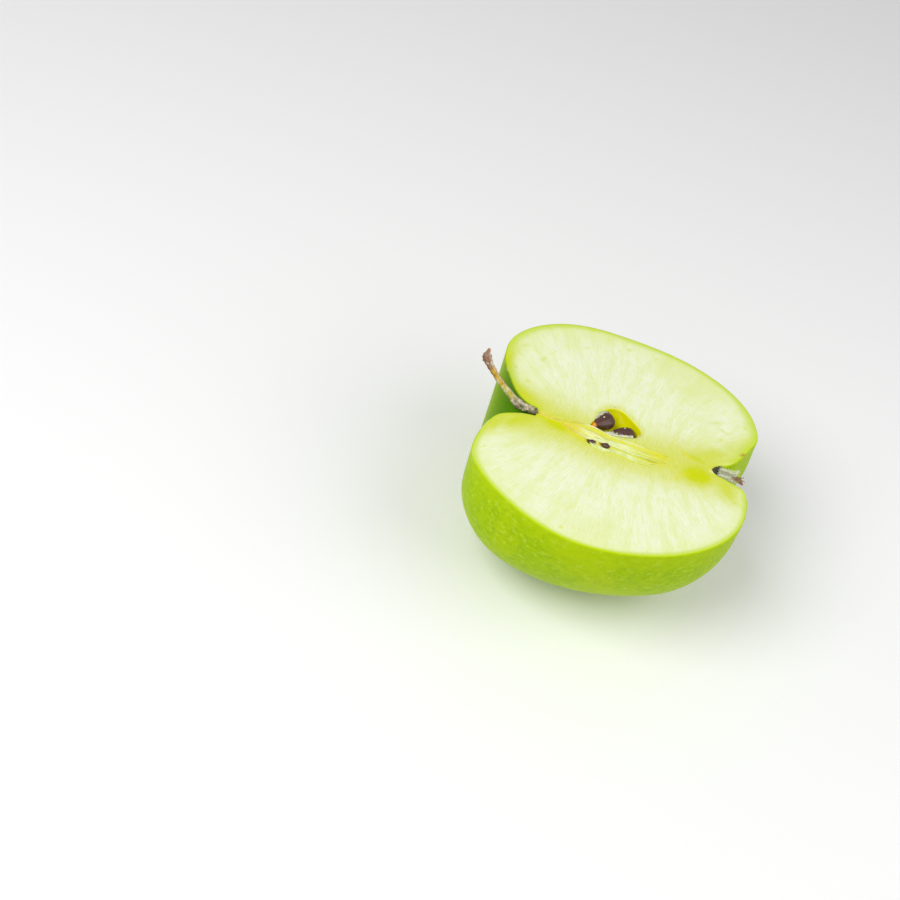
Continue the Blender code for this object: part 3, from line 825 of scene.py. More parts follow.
def flesh_material():
    """Pale wet flesh: streaks that spread from the core, a green edge, and a yellow core."""
    tints = colours()
    material, graph, shader = surface(
        "wet_flesh", IOR=1.38, Specular_IOR_Level=0.13, Subsurface_Weight=0.15,
        Subsurface_Scale=0.0008)
    shader.inputs["Subsurface Radius"].default_value = (1.0, 0.95, 0.45)
    place = graph.place()
    ray = graph.vector("ray")
    soft = effect(graph, "long_streaks", Vector=ray, Across=0.55, Along=0.10, Threshold=0.44)
    thin = effect(graph, "long_streaks", Vector=ray, Across=3.6, Along=0.4, Threshold=0.47)
    grain = effect(graph, "fine_grain", Vector=place, Scale=850.0, Contrast=0.7)
    specks = effect(graph, "small_specks", Vector=place, Scale=260.0, Size=0.22, Share=0.7)
    broad = graph.noise(place, 38.0, 2.0, 0.5)
    base = graph.mix(graph.remap(broad, 0.45, 0.62, 0.0, 0.4), tints.flesh, tints.flesh_streak)
    base = graph.mix(graph.math("MULTIPLY", soft["Mask"], 0.38), base, tints.flesh_streak)
    base = graph.mix(graph.math("MULTIPLY", thin["Mask"], 0.5), base, tints.flesh_streak)
    base = graph.mix(graph.math("MULTIPLY", grain["Mask"], 0.3), base, tints.flesh_streak)
    from_skin = graph.value("from_skin")
    by_streak = graph.remap(thin["Height"], 0.3, 0.7, 0.8, 1.25, "LINEAR")
    by_cloud = graph.remap(broad, 0.35, 0.65, 0.65, 1.35, "LINEAR")
    uneven = graph.math("MULTIPLY", by_cloud, graph.math("MULTIPLY", by_streak, from_skin))
    edge = graph.remap(uneven, 1.9, 0.0)
    base = graph.mix(graph.remap(uneven, 6.0, 0.5, 0.0, 0.3), base, RIM_HAZE)
    near_skin = graph.remap(from_skin, 14.0, 3.0)
    speckled = graph.math("MULTIPLY", graph.math("MULTIPLY", specks["Mask"], near_skin), 0.6)
    base = graph.mix(speckled, base, RIM_SPECK)
    base = graph.mix(graph.math("MULTIPLY", edge, 0.85), base, tints.flesh_edge)
    haze = graph.math("MULTIPLY", graph.value("haze"),
                      graph.remap(thin["Height"], 0.3, 0.7, 0.75, 1.0))
    base = graph.mix(haze, base, tints.core_haze)
    green = graph.math("MULTIPLY", graph.value("green"),
                       graph.remap(grain["Height"], 0.3, 0.6, 0.8, 1.0))
    base = graph.mix(green, base, tints.flesh_green)
    base = graph.mix(graph.value("yellow"), base, tints.core_yellow)
    base = graph.mix(graph.value("pale"), base, tints.strand)
    base = graph.mix(graph.value("slit"), base, SLIT_YELLOW)
    base = graph.mix(graph.value("mark"), base, SCAR_BROWN)
    wet = graph.remap(grain["Height"], 0.35, 0.65, 0.3, 0.5, "LINEAR")
    relief = graph.bump(thin["Height"], 0.35, 0.00016)
    relief = graph.bump(grain["Height"], 0.6, 0.00015, relief)
    connect(graph, shader, Base_Color=base, Roughness=wet, Normal=relief)
    return material


def lining_material():
    """Glossy yellow-green wall of the seed chamber, with paler patches."""
    tints = colours()
    material, graph, shader = surface(
        "chamber_lining", IOR=1.45, Specular_IOR_Level=0.05, Subsurface_Weight=0.2,
        Subsurface_Scale=0.0015)
    shader.inputs["Subsurface Radius"].default_value = (1.0, 0.95, 0.2)
    place = graph.place()
    clouds = graph.noise(place, 330.0, 3.0, 0.6)
    grain = effect(graph, "fine_grain", Vector=place, Scale=1400.0, Contrast=0.5)
    base = graph.mix(graph.remap(clouds, 0.55, 0.72, 0.0, 0.7), tints.lining, tints.lining_pale)
    base = graph.mix(graph.math("MULTIPLY", grain["Mask"], 0.1), base, LINING_GRAIN)
    gloss = graph.remap(clouds, 0.3, 0.7, 0.35, 0.5, "LINEAR")
    relief = graph.bump(clouds, 0.2, 0.0002)
    connect(graph, shader, Base_Color=base, Roughness=gloss, Normal=relief)
    return material


def seed_material():
    """Hard glossy brown coat with faint lines along it, and an orange point."""
    tints = colours()
    material, graph, shader = surface("seed_coat_finish", IOR=1.5, Specular_IOR_Level=0.6,
                                      Coat_Roughness=0.08, Coat_IOR=1.5)
    way = graph.vector("way")
    lines = effect(graph, "long_streaks", Vector=way, Across=9.0, Along=1.2, Threshold=0.5)
    grain = effect(graph, "fine_grain", Vector=graph.place(), Scale=2200.0, Contrast=0.5)
    base = graph.mix(graph.math("MULTIPLY", lines["Mask"], 0.5), tints.seed, tints.seed_ridge)
    base = graph.mix(graph.math("MULTIPLY", grain["Mask"], 0.2), base, tints.seed_ridge)
    along = graph.parts(way)["Y"]
    wavy = graph.math("ADD", along, graph.remap(lines["Height"], 0.3, 0.7, -0.03, 0.03, "LINEAR"))
    base = graph.mix(graph.remap(wavy, 0.26, 0.21), base, tints.seed_tip)
    gloss = graph.remap(grain["Height"], 0.35, 0.65, 0.3, 0.5, "LINEAR")
    coat = graph.remap(lines["Height"], 0.3, 0.7, 0.4, 0.15, "LINEAR")
    relief = graph.bump(lines["Height"], 0.5, 0.00015)
    connect(graph, shader, Base_Color=base, Roughness=gloss, Coat_Weight=coat, Normal=relief)
    return material


def strand_material():
    """Pale fibres of the core: cream beside the seeds, yellower to both ends."""
    tints = colours()
    material, graph, shader = surface(
        "core_fibre", IOR=1.4, Specular_IOR_Level=0.12, Subsurface_Weight=0.3,
        Subsurface_Scale=0.0008)
    place = graph.place()
    x = graph.parts(place)["X"]
    grain = effect(graph, "fine_grain", Vector=place, Scale=1500.0, Contrast=0.8)
    clouds = graph.noise(place, 420.0, 2.0, 0.5)
    base = graph.mix(graph.remap(clouds, 0.45, 0.65, 0.0, 0.5), tints.strand, tints.core_haze)
    stem_end = graph.remap(x, (1.0 - REST_X) * MM, (-3.5 - REST_X) * MM, 0.0, 0.9)
    calyx_end = graph.remap(x, (10.0 - REST_X) * MM, (20.0 - REST_X) * MM, 0.0, 0.85)
    base = graph.mix(calyx_end, base, tints.core_yellow)
    base = graph.mix(stem_end, base, STALK_YELLOW)
    base = graph.mix(graph.math("MULTIPLY", grain["Mask"], 0.25), base, STRAND_GRAIN)
    gloss = graph.remap(grain["Height"], 0.35, 0.65, 0.3, 0.5, "LINEAR")
    connect(graph, shader, Base_Color=base, Roughness=gloss,
            Normal=graph.bump(grain["Height"], 0.3, 0.00006))
    return material


def membrane_material():
    """Torn, nearly white skin that clings to the seeds, thin enough to see through in places; small white
    flecks of it also stand for painted highlights on the seeds.
    """
    tints = colours()
    material, graph, shader = surface("torn_membrane", IOR=1.4, Specular_IOR_Level=0.5)
    place = graph.place()
    clouds = graph.noise(place, 900.0, 4.0, 0.65)
    grain = effect(graph, "fine_grain", Vector=place, Scale=2500.0, Contrast=0.8)
    base = graph.mix(graph.remap(clouds, 0.4, 0.7), tints.membrane, tints.core_haze)
    base = graph.mix(graph.math("MULTIPLY", grain["Mask"], 0.4), base, MEMBRANE_WHITE)
    thin = graph.math("MULTIPLY", graph.value("cover"), graph.remap(clouds, 0.35, 0.6, 0.4, 1.0))
    gloss = graph.remap(grain["Height"], 0.35, 0.65, 0.3, 0.55, "LINEAR")
    connect(graph, shader, Base_Color=base, Roughness=gloss, Alpha=thin,
            Normal=graph.bump(clouds, 0.4, 0.0001))
    return material


def bark_material():
    """Stem bark: a grey rough foot, a green then ochre shank, and a brown knob."""
    tints = colours()
    material, graph, shader = surface("stem_bark_finish", IOR=1.45, Specular_IOR_Level=0.3)
    place = graph.place()
    way = graph.vector("way")
    parts = graph.parts(way)
    lines = effect(graph, "long_streaks", Vector=way, Across=2.6, Along=5.0, Threshold=0.46)
    grain = effect(graph, "fine_grain", Vector=place, Scale=1700.0, Contrast=0.9)
    patches = graph.noise(place, 620.0, 4.0, 0.65)
    shifted = graph.math("ADD", parts["Y"], graph.remap(patches, 0.3, 0.7, -0.06, 0.06, "LINEAR"))
    base = graph.mix(graph.remap(shifted, 0.27, 0.37), tints.bark_grey, tints.bark_green)
    base = graph.mix(graph.remap(shifted, 0.42, 0.56), base, tints.bark)
    base = graph.mix(graph.remap(shifted, 0.70, 0.78), base, tints.bark_dark)
    base = graph.mix(graph.remap(shifted, 0.88, 0.95, 0.0, 0.75), base, KNOB_GREY)
    base = graph.mix(graph.remap(parts["Y"], 0.955, 0.975), base, SPUR_RED)
    base = graph.mix(graph.math("MULTIPLY", lines["Mask"], 0.5), base, BARK_LINE)
    # Painted highlight on the stem's upper right side and painted shade on its lower left, by which way
    # the surface faces
    upper = graph.math("MULTIPLY", graph.math("SUBTRACT", parts["X"], parts["Z"]), 0.707)
    base = graph.mix(graph.remap(upper, 0.2, 0.8, 0.0, 0.7), base, BARK_PAINTED_HIGHLIGHT)
    base = graph.mix(graph.remap(upper, -0.45, -0.95, 0.0, 0.6), base, BARK_PAINTED_SHADE)
    base = graph.mix(graph.remap(patches, 0.54, 0.64, 0.0, 0.5), base, BARK_PATCH)
    base = graph.mix(graph.math("MULTIPLY", grain["Mask"], 0.4), base, BARK_GRAIN)
    # Painted glints: pale spots by noise
    base = graph.mix(graph.remap(patches, 0.46, 0.38, 0.0, 0.6), base, BARK_PALE_GLINT)
    foot = graph.remap(shifted, 0.34, 0.26)
    mottle = graph.math("MULTIPLY", foot, graph.remap(patches, 0.46, 0.6))
    base = graph.mix(mottle, base, FOOT_DARK)
    glint = graph.math("MULTIPLY", foot, graph.remap(patches, 0.36, 0.28))
    base = graph.mix(glint, base, FOOT_GLINT)
    dull = graph.remap(grain["Height"], 0.3, 0.7, 0.5, 0.85, "LINEAR")
    relief = graph.bump(lines["Height"], 0.6, 0.0002)
    relief = graph.bump(grain["Height"], 0.8, 0.0002, relief)
    connect(graph, shader, Base_Color=base, Roughness=dull, Normal=relief)
    return material


def sepal_material():
    """Felted pale sepals with cream tips."""
    tints = colours()
    material, graph, shader = surface("sepal_felt", IOR=1.4, Specular_IOR_Level=0.25,
                                      Sheen_Weight=0.3, Sheen_Roughness=0.5)
    place = graph.place()
    way = graph.vector("way")
    lines = effect(graph, "long_streaks", Vector=way, Across=6.0, Along=1.0, Threshold=0.45)
    grain = effect(graph, "fine_grain", Vector=place, Scale=2600.0, Contrast=0.9)
    along = graph.parts(way)["Y"]
    base = graph.mix(graph.remap(along, 0.55, 0.9), tints.sepal, tints.sepal_cream)
    base = graph.mix(graph.math("MULTIPLY", lines["Mask"], 0.3), base, SEPAL_LINE)
    base = graph.mix(graph.math("MULTIPLY", grain["Mask"], 0.4), base, SEPAL_FELT)
    dull = graph.remap(grain["Height"], 0.3, 0.7, 0.7, 0.95, "LINEAR")
    connect(graph, shader, Base_Color=base, Roughness=dull,
            Normal=graph.bump(grain["Height"], 0.6, 0.0001))
    return material


def wool_material():
    """Whitish hairs on the sepals."""
    material, graph, shader = surface("sepal_wool_finish", IOR=1.4, Specular_IOR_Level=0.3)
    clouds = graph.noise(graph.place(), 700.0, 2.0, 0.5)
    base = graph.mix(clouds, WOOL_WHITE, WOOL_GREEN)
    dull = graph.remap(clouds, 0.3, 0.7, 0.6, 0.85, "LINEAR")
    connect(graph, shader, Base_Color=base, Roughness=dull)
    return material


def withered_material():
    """Dry brown tips and stamens."""
    tints = colours()
    material, graph, shader = surface("withered_finish", IOR=1.4, Specular_IOR_Level=0.25)
    place = graph.place()
    grain = effect(graph, "fine_grain", Vector=place, Scale=1900.0, Contrast=0.9)
    clouds = graph.noise(place, 800.0, 3.0, 0.6)
    base = graph.mix(graph.remap(clouds, 0.4, 0.65), tints.withered, WITHERED_PALE)
    base = graph.mix(graph.math("MULTIPLY", grain["Mask"], 0.55), base, WITHERED_DARK)
    dull = graph.remap(grain["Height"], 0.3, 0.7, 0.65, 0.9, "LINEAR")
    connect(graph, shader, Base_Color=base, Roughness=dull,
            Normal=graph.bump(grain["Height"], 0.6, 0.0001))
    return material


def geometry_group(name, inputs):
    """An empty Geometry Nodes tree with a mesh input and its named sizes."""
    tree = bpy.data.node_groups.new(name, "GeometryNodeTree")
    tree.interface.new_socket("Geometry", in_out="INPUT", socket_type="NodeSocketGeometry")
    for label, kind, default in inputs:
        socket = tree.interface.new_socket(label, in_out="INPUT", socket_type="NodeSocket" + kind)
        if default is not None:
            socket.default_value = default
    tree.interface.new_socket("Geometry", in_out="OUTPUT", socket_type="NodeSocketGeometry")
    graph = Graph(tree)
    return graph, graph.add("NodeGroupInput").outputs, graph.add("NodeGroupOutput").inputs


def finish_geometry(graph, geometry_socket, material, result):
    """The end of each tree: smooth faces, real mesh instead of instances, and a material."""
    smooth = graph.add("GeometryNodeSetShadeSmooth", {"Geometry": geometry_socket})
    real = graph.add("GeometryNodeRealizeInstances", {"Geometry": smooth.outputs[0]})
    worn = graph.add("GeometryNodeSetMaterial", {"Geometry": real.outputs[0], "Material": material})
    graph.tree.links.new(worn.outputs[0], result["Geometry"])


def push(graph, operation, a, b):
    """A vector from two vectors, or from a vector and the length it is scaled by."""
    second = "Scale" if operation == "SCALE" else 1
    return graph.add("ShaderNodeVectorMath", {0: a, second: b}, operation=operation).outputs[0]


def round_tube(graph, curve, radius, sides):
    """A capped tube along a curve."""
    ring = graph.add("GeometryNodeCurvePrimitiveCircle", {"Resolution": sides, "Radius": 1.0})
    return graph.add("GeometryNodeCurveToMesh", {
        "Curve": curve, "Profile Curve": ring.outputs["Curve"], "Scale": radius, "Fill Caps": True,
    }).outputs[0]


def fibre_tree():
    """Bundles of fine fibres that follow guide lines, each with its own waver and taper."""
    graph, given, result = geometry_group("fibre_bundle", (
        ("Fibres", "Int", 4), ("Thickness", "Float", 0.0002), ("Spread", "Float", 0.0004),
        ("Waver", "Float", 0.0003), ("Waver Scale", "Float", 180.0), ("Step", "Float", 0.0004),
        ("Seed", "Int", 0), ("Material", "Material", None)))
    lines = graph.add("GeometryNodeMeshToCurve", {"Mesh": given["Geometry"]}).outputs["Curve"]
    many = graph.add("GeometryNodeDuplicateElements", {"Geometry": lines, "Amount": given["Fibres"]},
                     domain="SPLINE").outputs["Geometry"]
    even = graph.add("GeometryNodeResampleCurve", {"Curve": many, "Length": given["Step"]},
                     mode="LENGTH").outputs["Curve"]
    which = graph.add("GeometryNodeCurveOfPoint").outputs["Curve Index"]
    aside = graph.add("FunctionNodeRandomValue", {
        0: (-1.0, -1.0, -0.25), 1: (1.0, 1.0, 0.25), "ID": which, "Seed": given["Seed"]},
        data_type="FLOAT_VECTOR").outputs[0]
    aside = push(graph, "SCALE", aside, given["Spread"])
    own = graph.math("MULTIPLY_ADD", which, 1.7, given["Seed"])
    here = graph.add("GeometryNodeInputPosition").outputs[0]
    waves = graph.add("ShaderNodeTexNoise", {"Vector": here, "W": own, "Scale": given["Waver Scale"],
                                             "Detail": 2.0}, noise_dimensions="4D").outputs["Color"]
    waver = push(graph, "SCALE", push(graph, "SUBTRACT", waves, (0.5, 0.5, 0.5)), given["Waver"])
    both = push(graph, "ADD", aside, waver)
    moved = graph.add("GeometryNodeSetPosition", {"Geometry": even, "Offset": both}).outputs[0]
    share = graph.add("GeometryNodeSplineParameter").outputs["Factor"]
    bow = graph.math("SINE", graph.math("MULTIPLY_ADD", share, 2.9, 0.12))
    swell = graph.math("POWER", bow, 0.5)
    girth = graph.add("FunctionNodeRandomValue", {2: 0.55, 3: 1.25, "ID": which, "Seed": given["Seed"]},
                      data_type="FLOAT").outputs[1]
    radius = graph.math("MULTIPLY", graph.math("MULTIPLY", swell, girth), given["Thickness"])
    finish_geometry(graph, round_tube(graph, moved, radius, 7), given["Material"], result)
    return graph.tree


def wool_tree():
    """Short bent hairs spread over a mesh."""
    graph, given, result = geometry_group("wool_cover", (
        ("Density", "Float", 2.0e7), ("Length", "Float", 0.0008), ("Thickness", "Float", 0.00002),
        ("Seed", "Int", 0), ("Material", "Material", None)))
    spots = graph.add("GeometryNodeDistributePointsOnFaces", {
        "Mesh": given["Geometry"], "Density": given["Density"], "Seed": given["Seed"]})
    hair = graph.add("GeometryNodeCurveQuadraticBezier", {
        "Resolution": 5, "Start": (0.0, 0.0, 0.0), "Middle": (0.0, 0.0, 0.55), "End": (0.5, 0.1, 0.75)})
    share = graph.add("GeometryNodeSplineParameter").outputs["Factor"]
    slim = graph.remap(share, 0.0, 1.0, 1.0, 0.25, "LINEAR")
    radius = graph.math("MULTIPLY", slim, graph.math("DIVIDE", given["Thickness"], given["Length"]))
    tube = round_tube(graph, hair.outputs[0], radius, 4)
    lean = graph.add("FunctionNodeRandomValue", {
        0: (-0.9, -0.9, -3.1), 1: (0.9, 0.9, 3.1), "Seed": given["Seed"]},
        data_type="FLOAT_VECTOR").outputs[0]
    lean = graph.add("FunctionNodeEulerToRotation", {0: lean}).outputs[0]
    turned = graph.add("FunctionNodeRotateRotation", {
        "Rotation": spots.outputs["Rotation"], "Rotate By": lean}, rotation_space="LOCAL").outputs[0]
    tall = graph.add("FunctionNodeRandomValue", {2: 0.5, 3: 1.15, "Seed": given["Seed"]},
                     data_type="FLOAT").outputs[1]
    grown_size = graph.math("MULTIPLY", tall, given["Length"])
    hairs = graph.add("GeometryNodeInstanceOnPoints", {
        "Points": spots.outputs["Points"], "Instance": tube, "Rotation": turned,
        "Scale": grown_size})
    finish_geometry(graph, hairs.outputs[0], given["Material"], result)
    return graph.tree


def grow(guide, tree, name, inputs):
    """The plain mesh that a node tree makes on a guide object, as a new object."""
    modifier = guide.modifiers.new(tree.name, "NODES")
    modifier.node_group = tree
    for item in tree.interface.items_tree:
        if item.item_type == "SOCKET" and item.in_out == "INPUT" and item.name in inputs:
            modifier[item.identifier] = inputs[item.name]
    bpy.context.view_layer.update()
    mesh = mesh_with_modifiers(guide, name)
    guide.modifiers.remove(modifier)
    if not mesh.polygons:
        raise RuntimeError(f"{name}: the node tree made no faces")
    mesh.materials.clear()
    mesh.materials.append(inputs["Material"])
    return add_object(name, mesh)


def guide_lines(name, lines):
    """An object of edges along several lines of points, in mm in the core's frame."""
    points, edges = [], []
    for line in lines:
        edges += [(len(points) + i, len(points) + i + 1) for i in range(len(line) - 1)]
        points += list(line)
    mesh = bpy.data.meshes.new(name)
    mesh.from_pydata(to_row(points).tolist(), edges, [])
    return add_object(name, mesh)


def settle(thing, *nodes, slot=None):
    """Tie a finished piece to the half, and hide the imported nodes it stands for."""
    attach(thing, "root")
    if nodes:
        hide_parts(*nodes)
    return thing


def fruit_outline():
    """The whole fruit's outline as (x, radius) points, from the stem to the calyx."""
    points = [CAVITY_FLOOR]
    for start, start_handle, end_handle, end, steps in OUTLINE_STRETCHES:
        for t in np.arange(steps) / steps:
            s = 1.0 - t
            points.append(start * s ** 3 + (start + start_handle) * (3 * s * s * t)
                          + (end + end_handle) * (3 * s * t * t) + end * t ** 3)
    for start, end in ((TUBE_MOUTH, TUBE_THROAT), (TUBE_THROAT, TUBE_FLOOR)):
        points += [start + (end - start) * t for t in np.arange(TUBE_STEPS) / TUBE_STEPS]
    points.append(TUBE_FLOOR)
    return np.array(points)


def grown(x, radius, turn):
    """Where points of the turned fruit lie on the uneven one, in mm."""
    share = np.maximum(0.0, (x - EQUATOR[0]) / (CALYX_SHOULDER[0] - EQUATOR[0])) ** 2
    share = share * np.minimum(1.0, radius / CALYX_SHOULDER[1])
    rib = RIB_GAIN * share * np.cos(RIB_COUNT * turn + RIB_TURN)
    valley = VALLEY_DEPTH * share * hump(wrapped(turn - VALLEY_TURN), 0.0, VALLEY_WIDTH)
    gain = 1.0 - NEAR_LOBE_GAIN * np.cos(turn) * hump(x, NEAR_LOBE_X, NEAR_LOBE_WIDTH) + rib
    for angle, angle_width, middle, width, amount in SWELLS:
        away = wrapped(turn - math.radians(angle))
        gain = gain + amount * hump(away, 0.0, math.radians(angle_width)) * hump(x, middle, width)
    skew = np.where(x > EQUATOR[0], CALYX_HOLLOW_SKEW, STEM_HOLLOW_SKEW)
    aside = 1.0 + skew * hump(radius, HOLLOW_RADIUS, HOLLOW_WIDTH)
    offset = CORE_OFFSET * (1.0 - hump(radius, 0.0, CORE_REACH)) * aside
    y = radius * np.cos(turn) * gain + offset
    z = radius * np.sin(turn) * gain * DEPTH_GAIN
    lean = LEAN * np.maximum(0.0, 1.0 - ((x - LEAN_MIDDLE_X) / LEAN_HALF_LENGTH) ** 2)
    return np.stack(np.broadcast_arrays(x - lean * y / EQUATOR[1] - valley, y, z), axis=-1)


def half_turn_steps(middle_steps=96):
    """Angles from one cut edge under the fruit to the other, closer together at the edges."""
    edge = np.array((0.0, 0.12, 0.28, 0.5, 0.85, 1.4, 2.2))
    first_even = 3.4
    middle = np.linspace(first_even, 180.0 - first_even, middle_steps)
    return np.radians(np.concatenate((edge, middle, 180.0 - edge[::-1])))


def skin_grid():
    """Skin points by place along the outline and by turn, its rounded edge, and masks."""
    outline = fruit_outline()
    turns = half_turn_steps()
    x, radius = outline[:, :1], outline[:, 1:]
    points = grown(x, radius, -turns[None, :])
    rounding = sizes().edge_rounding / MM
    along = unit(np.gradient(points[:, :, :2], axis=0))
    for column, side in ((0, 1.0), (-1, -1.0)):
        inward = np.stack((along[:, column, 1], -along[:, column, 0]), axis=1) * side
        inward[0] = (1.0, 0.0)
        inward[-1] = (-1.0, 0.0)
        half = slice(0, len(turns) // 2) if column == 0 else slice(len(turns) // 2, None)
        below = np.clip(-points[:, half, 2], 0.0, rounding)
        inset = rounding - np.sqrt(rounding ** 2 - (rounding - below) ** 2)
        inset[[0, -1]] = rounding
        points[:, half, :2] += inset[:, :, None] * inward[:, None, :]
    from_cut = radius * np.minimum(turns, math.pi - turns)
    over_flat_spot = (points[:, :, 2] + CUT_HEIGHT) / FLAT_SPOT_SOFTNESS
    points[:, :, 2] = FLAT_SPOT_SOFTNESS * np.logaddexp(0.0, over_flat_spot) - CUT_HEIGHT
    index = np.arange(len(outline))
    # Masks of painted shade: the stem hollow, and the calyx tube
    hollow_shade = np.clip(1.0 - index / (CAVITY_STEPS * HOLLOW_SHADE_REACH), 0.0, 1.0)
    tube_start = len(outline) - 2 * TUBE_STEPS - TUBE_SHADE_LEAD
    tube = np.clip((index - tube_start) / TUBE_SHADE_FADE, 0.0, 1.0)
    spread = np.ones_like(turns)[None, :]
    return points, from_cut, hollow_shade[:, None] * spread, tube[:, None] * spread


def skin_faces(rows, columns):
    """Index of each skin point, with one point at each pole, and the faces between them."""
    index = np.zeros((rows, columns), int)
    index[1:-1] = 1 + np.arange((rows - 2) * columns).reshape(rows - 2, columns)
    index[-1] = 1 + (rows - 2) * columns
    faces = []
    for i in range(rows - 1):
        for j in range(columns - 1):
            corners = (index[i, j], index[i + 1, j], index[i + 1, j + 1], index[i, j + 1])
            faces.append(tuple(int(c) for c in dict.fromkeys(corners)))
    return index, faces


def patches(points, spots):
    """The strongest of several soft oval patches at each point."""
    total = np.zeros(len(points))
    for x, y, half_length, half_width, turn, strength in spots:
        angle = math.radians(turn)
        dx, dy = points[:, 0] - x, points[:, 1] - y
        u = (dx * math.cos(angle) + dy * math.sin(angle)) / half_length
        v = (dy * math.cos(angle) - dx * math.sin(angle)) / half_width
        total = np.maximum(total, strength * np.exp(-(u * u + v * v)))
    return total


def ray_place(points):
    """Place round the core and away from it, along the curves that the flesh grew by."""
    middle = STREAK_ENDS.mean(axis=0)
    reach = np.linalg.norm(STREAK_ENDS[1] - STREAK_ENDS[0]) / 2.0
    first = np.linalg.norm(points - STREAK_ENDS[0], axis=1)
    second = np.linalg.norm(points - STREAK_ENDS[1], axis=1)
    away = np.arccosh(np.maximum(1.0, (first + second) / (2.0 * reach)))
    side = np.where(points[:, 1] > middle[1], 1.0, -1.0)
    around = np.arccos(np.clip((first - second) / (2.0 * reach), -1.0, 1.0)) * side
    return np.column_stack((around * reach, away * reach, np.zeros(len(points))))


def core_relief(points):
    """Height of the fibre ridges, slits, seed pockets and shallow waves of the cut face."""
    flat = points[:, :2]
    height = WAVE_HEIGHT * rough(np.column_stack((flat, np.zeros(len(flat)))), WAVE_SCALE)
    for _, route, width, ridge in STRANDS:
        line = smooth_line(route, 5)
        from_end = np.minimum(flat[:, 0] - line[0, 0], line[-1, 0] - flat[:, 0])
        ends = np.clip(from_end / STRAND_FADE + 0.5, 0.0, 1.0)
        height += ridge * ends * hump(distance_to_line(flat, line), 0.0, width)
    for slit in SLITS:
        height -= SLIT_DEPTH * hump(distance_to_line(flat, slit), 0.0, SLIT_WIDTH)
    height -= SLIT_DEPTH * hump(distance_to_line(flat, STEM_GROOVE), 0.0, GROOVE_WIDTH)
    for name in ("seed_3", "seed_4"):
        (x, y, _), (heading, _, _), scale = SEEDS[name]
        half_length = POCKET_LENGTH_SHARE * SEED_LENGTH * scale
        half_width = POCKET_WIDTH_SHARE * SEED_WIDTH * scale
        pocket = patches(flat, ((x, y, half_length, half_width, heading, 1.0),))
        height -= POCKET_DEPTH * np.clip((pocket - POCKET_START) * POCKET_STEEPNESS, 0.0, 1.0)
    return height


def face_marks(flat, outline, chamber):
    """Masks of the flesh's tints at points of the cut face."""
    to_skin = distance_to_line(flat, outline, closed=True)
    to_full_lobe = np.clip(flat[:, 1] / FULL_LOBE_RIM_REACH, -0.2, 1.0)
    to_stem_end = np.clip(-flat[:, 0] / STEM_END_RIM_REACH, 0.0, 1.0)
    width = RIM_WIDTH + FULL_LOBE_RIM_GAIN * to_full_lobe + STEM_END_RIM_GAIN * to_stem_end
    core = np.exp(-(distance_to_line(flat, CORE_LINE) / HAZE_REACH) ** 3)
    halo = hump(distance_to_line(flat, chamber, closed=True), 0.0, HALO_REACH)
    bundle = np.zeros(len(flat))
    for name, route, _, _ in STRANDS:
        if name != "outer":
            bundle = np.maximum(bundle, hump(distance_to_line(flat, route), 0.0, BUNDLE_REACH))
    slit = np.zeros(len(flat))
    for line in SLITS:
        slit = np.maximum(slit, hump(distance_to_line(flat, line), 0.0, SLIT_REACH))
    groove = hump(distance_to_line(flat, STEM_GROOVE), 0.0, GROOVE_REACH)
    slit = np.maximum(slit, GROOVE_STRENGTH * groove)
    return {
        "from_skin": to_skin / width,
        "haze": np.maximum(HAZE_STRENGTH * core, HALO_STRENGTH * halo),
        "green": np.minimum(1.0, patches(flat, GREEN_PATCHES)),
        "yellow": np.maximum(patches(flat, YELLOW_PATCHES), BUNDLE_STRENGTH * bundle),
        "pale": patches(flat, PALE_PATCHES),
        "mark": patches(flat, BROWN_MARKS),
        "slit": slit,
    }


def chamber_rings(edge, ring_count=16):
    """Rings of the chamber's wall, from its edge in the cut face down to its floor."""
    depth = sizes().chamber_depth / MM
    angles = np.linspace(0.0, math.pi / 2.0, ring_count + 1)[1:-1]
    rings = []
    for angle in angles:
        share = math.cos(angle) ** (2.0 / CHAMBER_FULLNESS)
        drop = depth * math.sin(angle) ** (2.0 / CHAMBER_FULLNESS)
        flat = CHAMBER_MIDDLE + (edge - CHAMBER_MIDDLE) * share
        ring = np.column_stack((flat, np.full(len(flat), -drop)))
        ring[:, 2] += WALL_RIPPLE * rough(ring, WALL_RIPPLE_SCALE) * math.sin(angle)
        rings.append(ring)
    return rings


def loose_face_points(rim_flat, edge):
    """Points within the cut face, closer together round the core, and clear of its edges."""
    step, core_step = sizes().face_step / MM, sizes().core_step / MM
    wide = even_points(rim_flat.min(axis=0), rim_flat.max(axis=0), step)
    in_core = np.all((wide > CORE_BOX_LOW) & (wide < CORE_BOX_HIGH), axis=1)
    fine = even_points(CORE_BOX_LOW + step / 2.0, CORE_BOX_HIGH - step / 2.0, core_step)
    loose = np.concatenate((wide[~in_core], fine))
    loose = loose[inside(loose, rim_flat) & ~inside(loose, edge)]
    loose = loose[distance_to_line(loose, rim_flat, closed=True) > RIM_CLEARANCE]
    return loose[distance_to_line(loose, edge, closed=True) > CHAMBER_CLEARANCE]


def face_triangles(flat, rim_flat, edge):
    """Triangles between the rim and the chamber's edge, by the numbers of their points."""
    border = []
    for start, count in ((0, len(rim_flat)), (len(rim_flat), len(edge))):
        border += [(start + i, start + (i + 1) % count) for i in range(count)]
    found, _, triangles, origin, _, _ = geometry.delaunay_2d_cdt(
        [Vector(p) for p in flat.tolist()], border, [], 1, 1e-5, True)
    middles = np.array([np.mean([found[i] for i in triangle], axis=0) for triangle in triangles])
    kept = inside(middles, rim_flat) & ~inside(middles, edge)
    return [tuple(origin[i][0] for i in triangle) for triangle, keep in zip(triangles, kept) if keep]


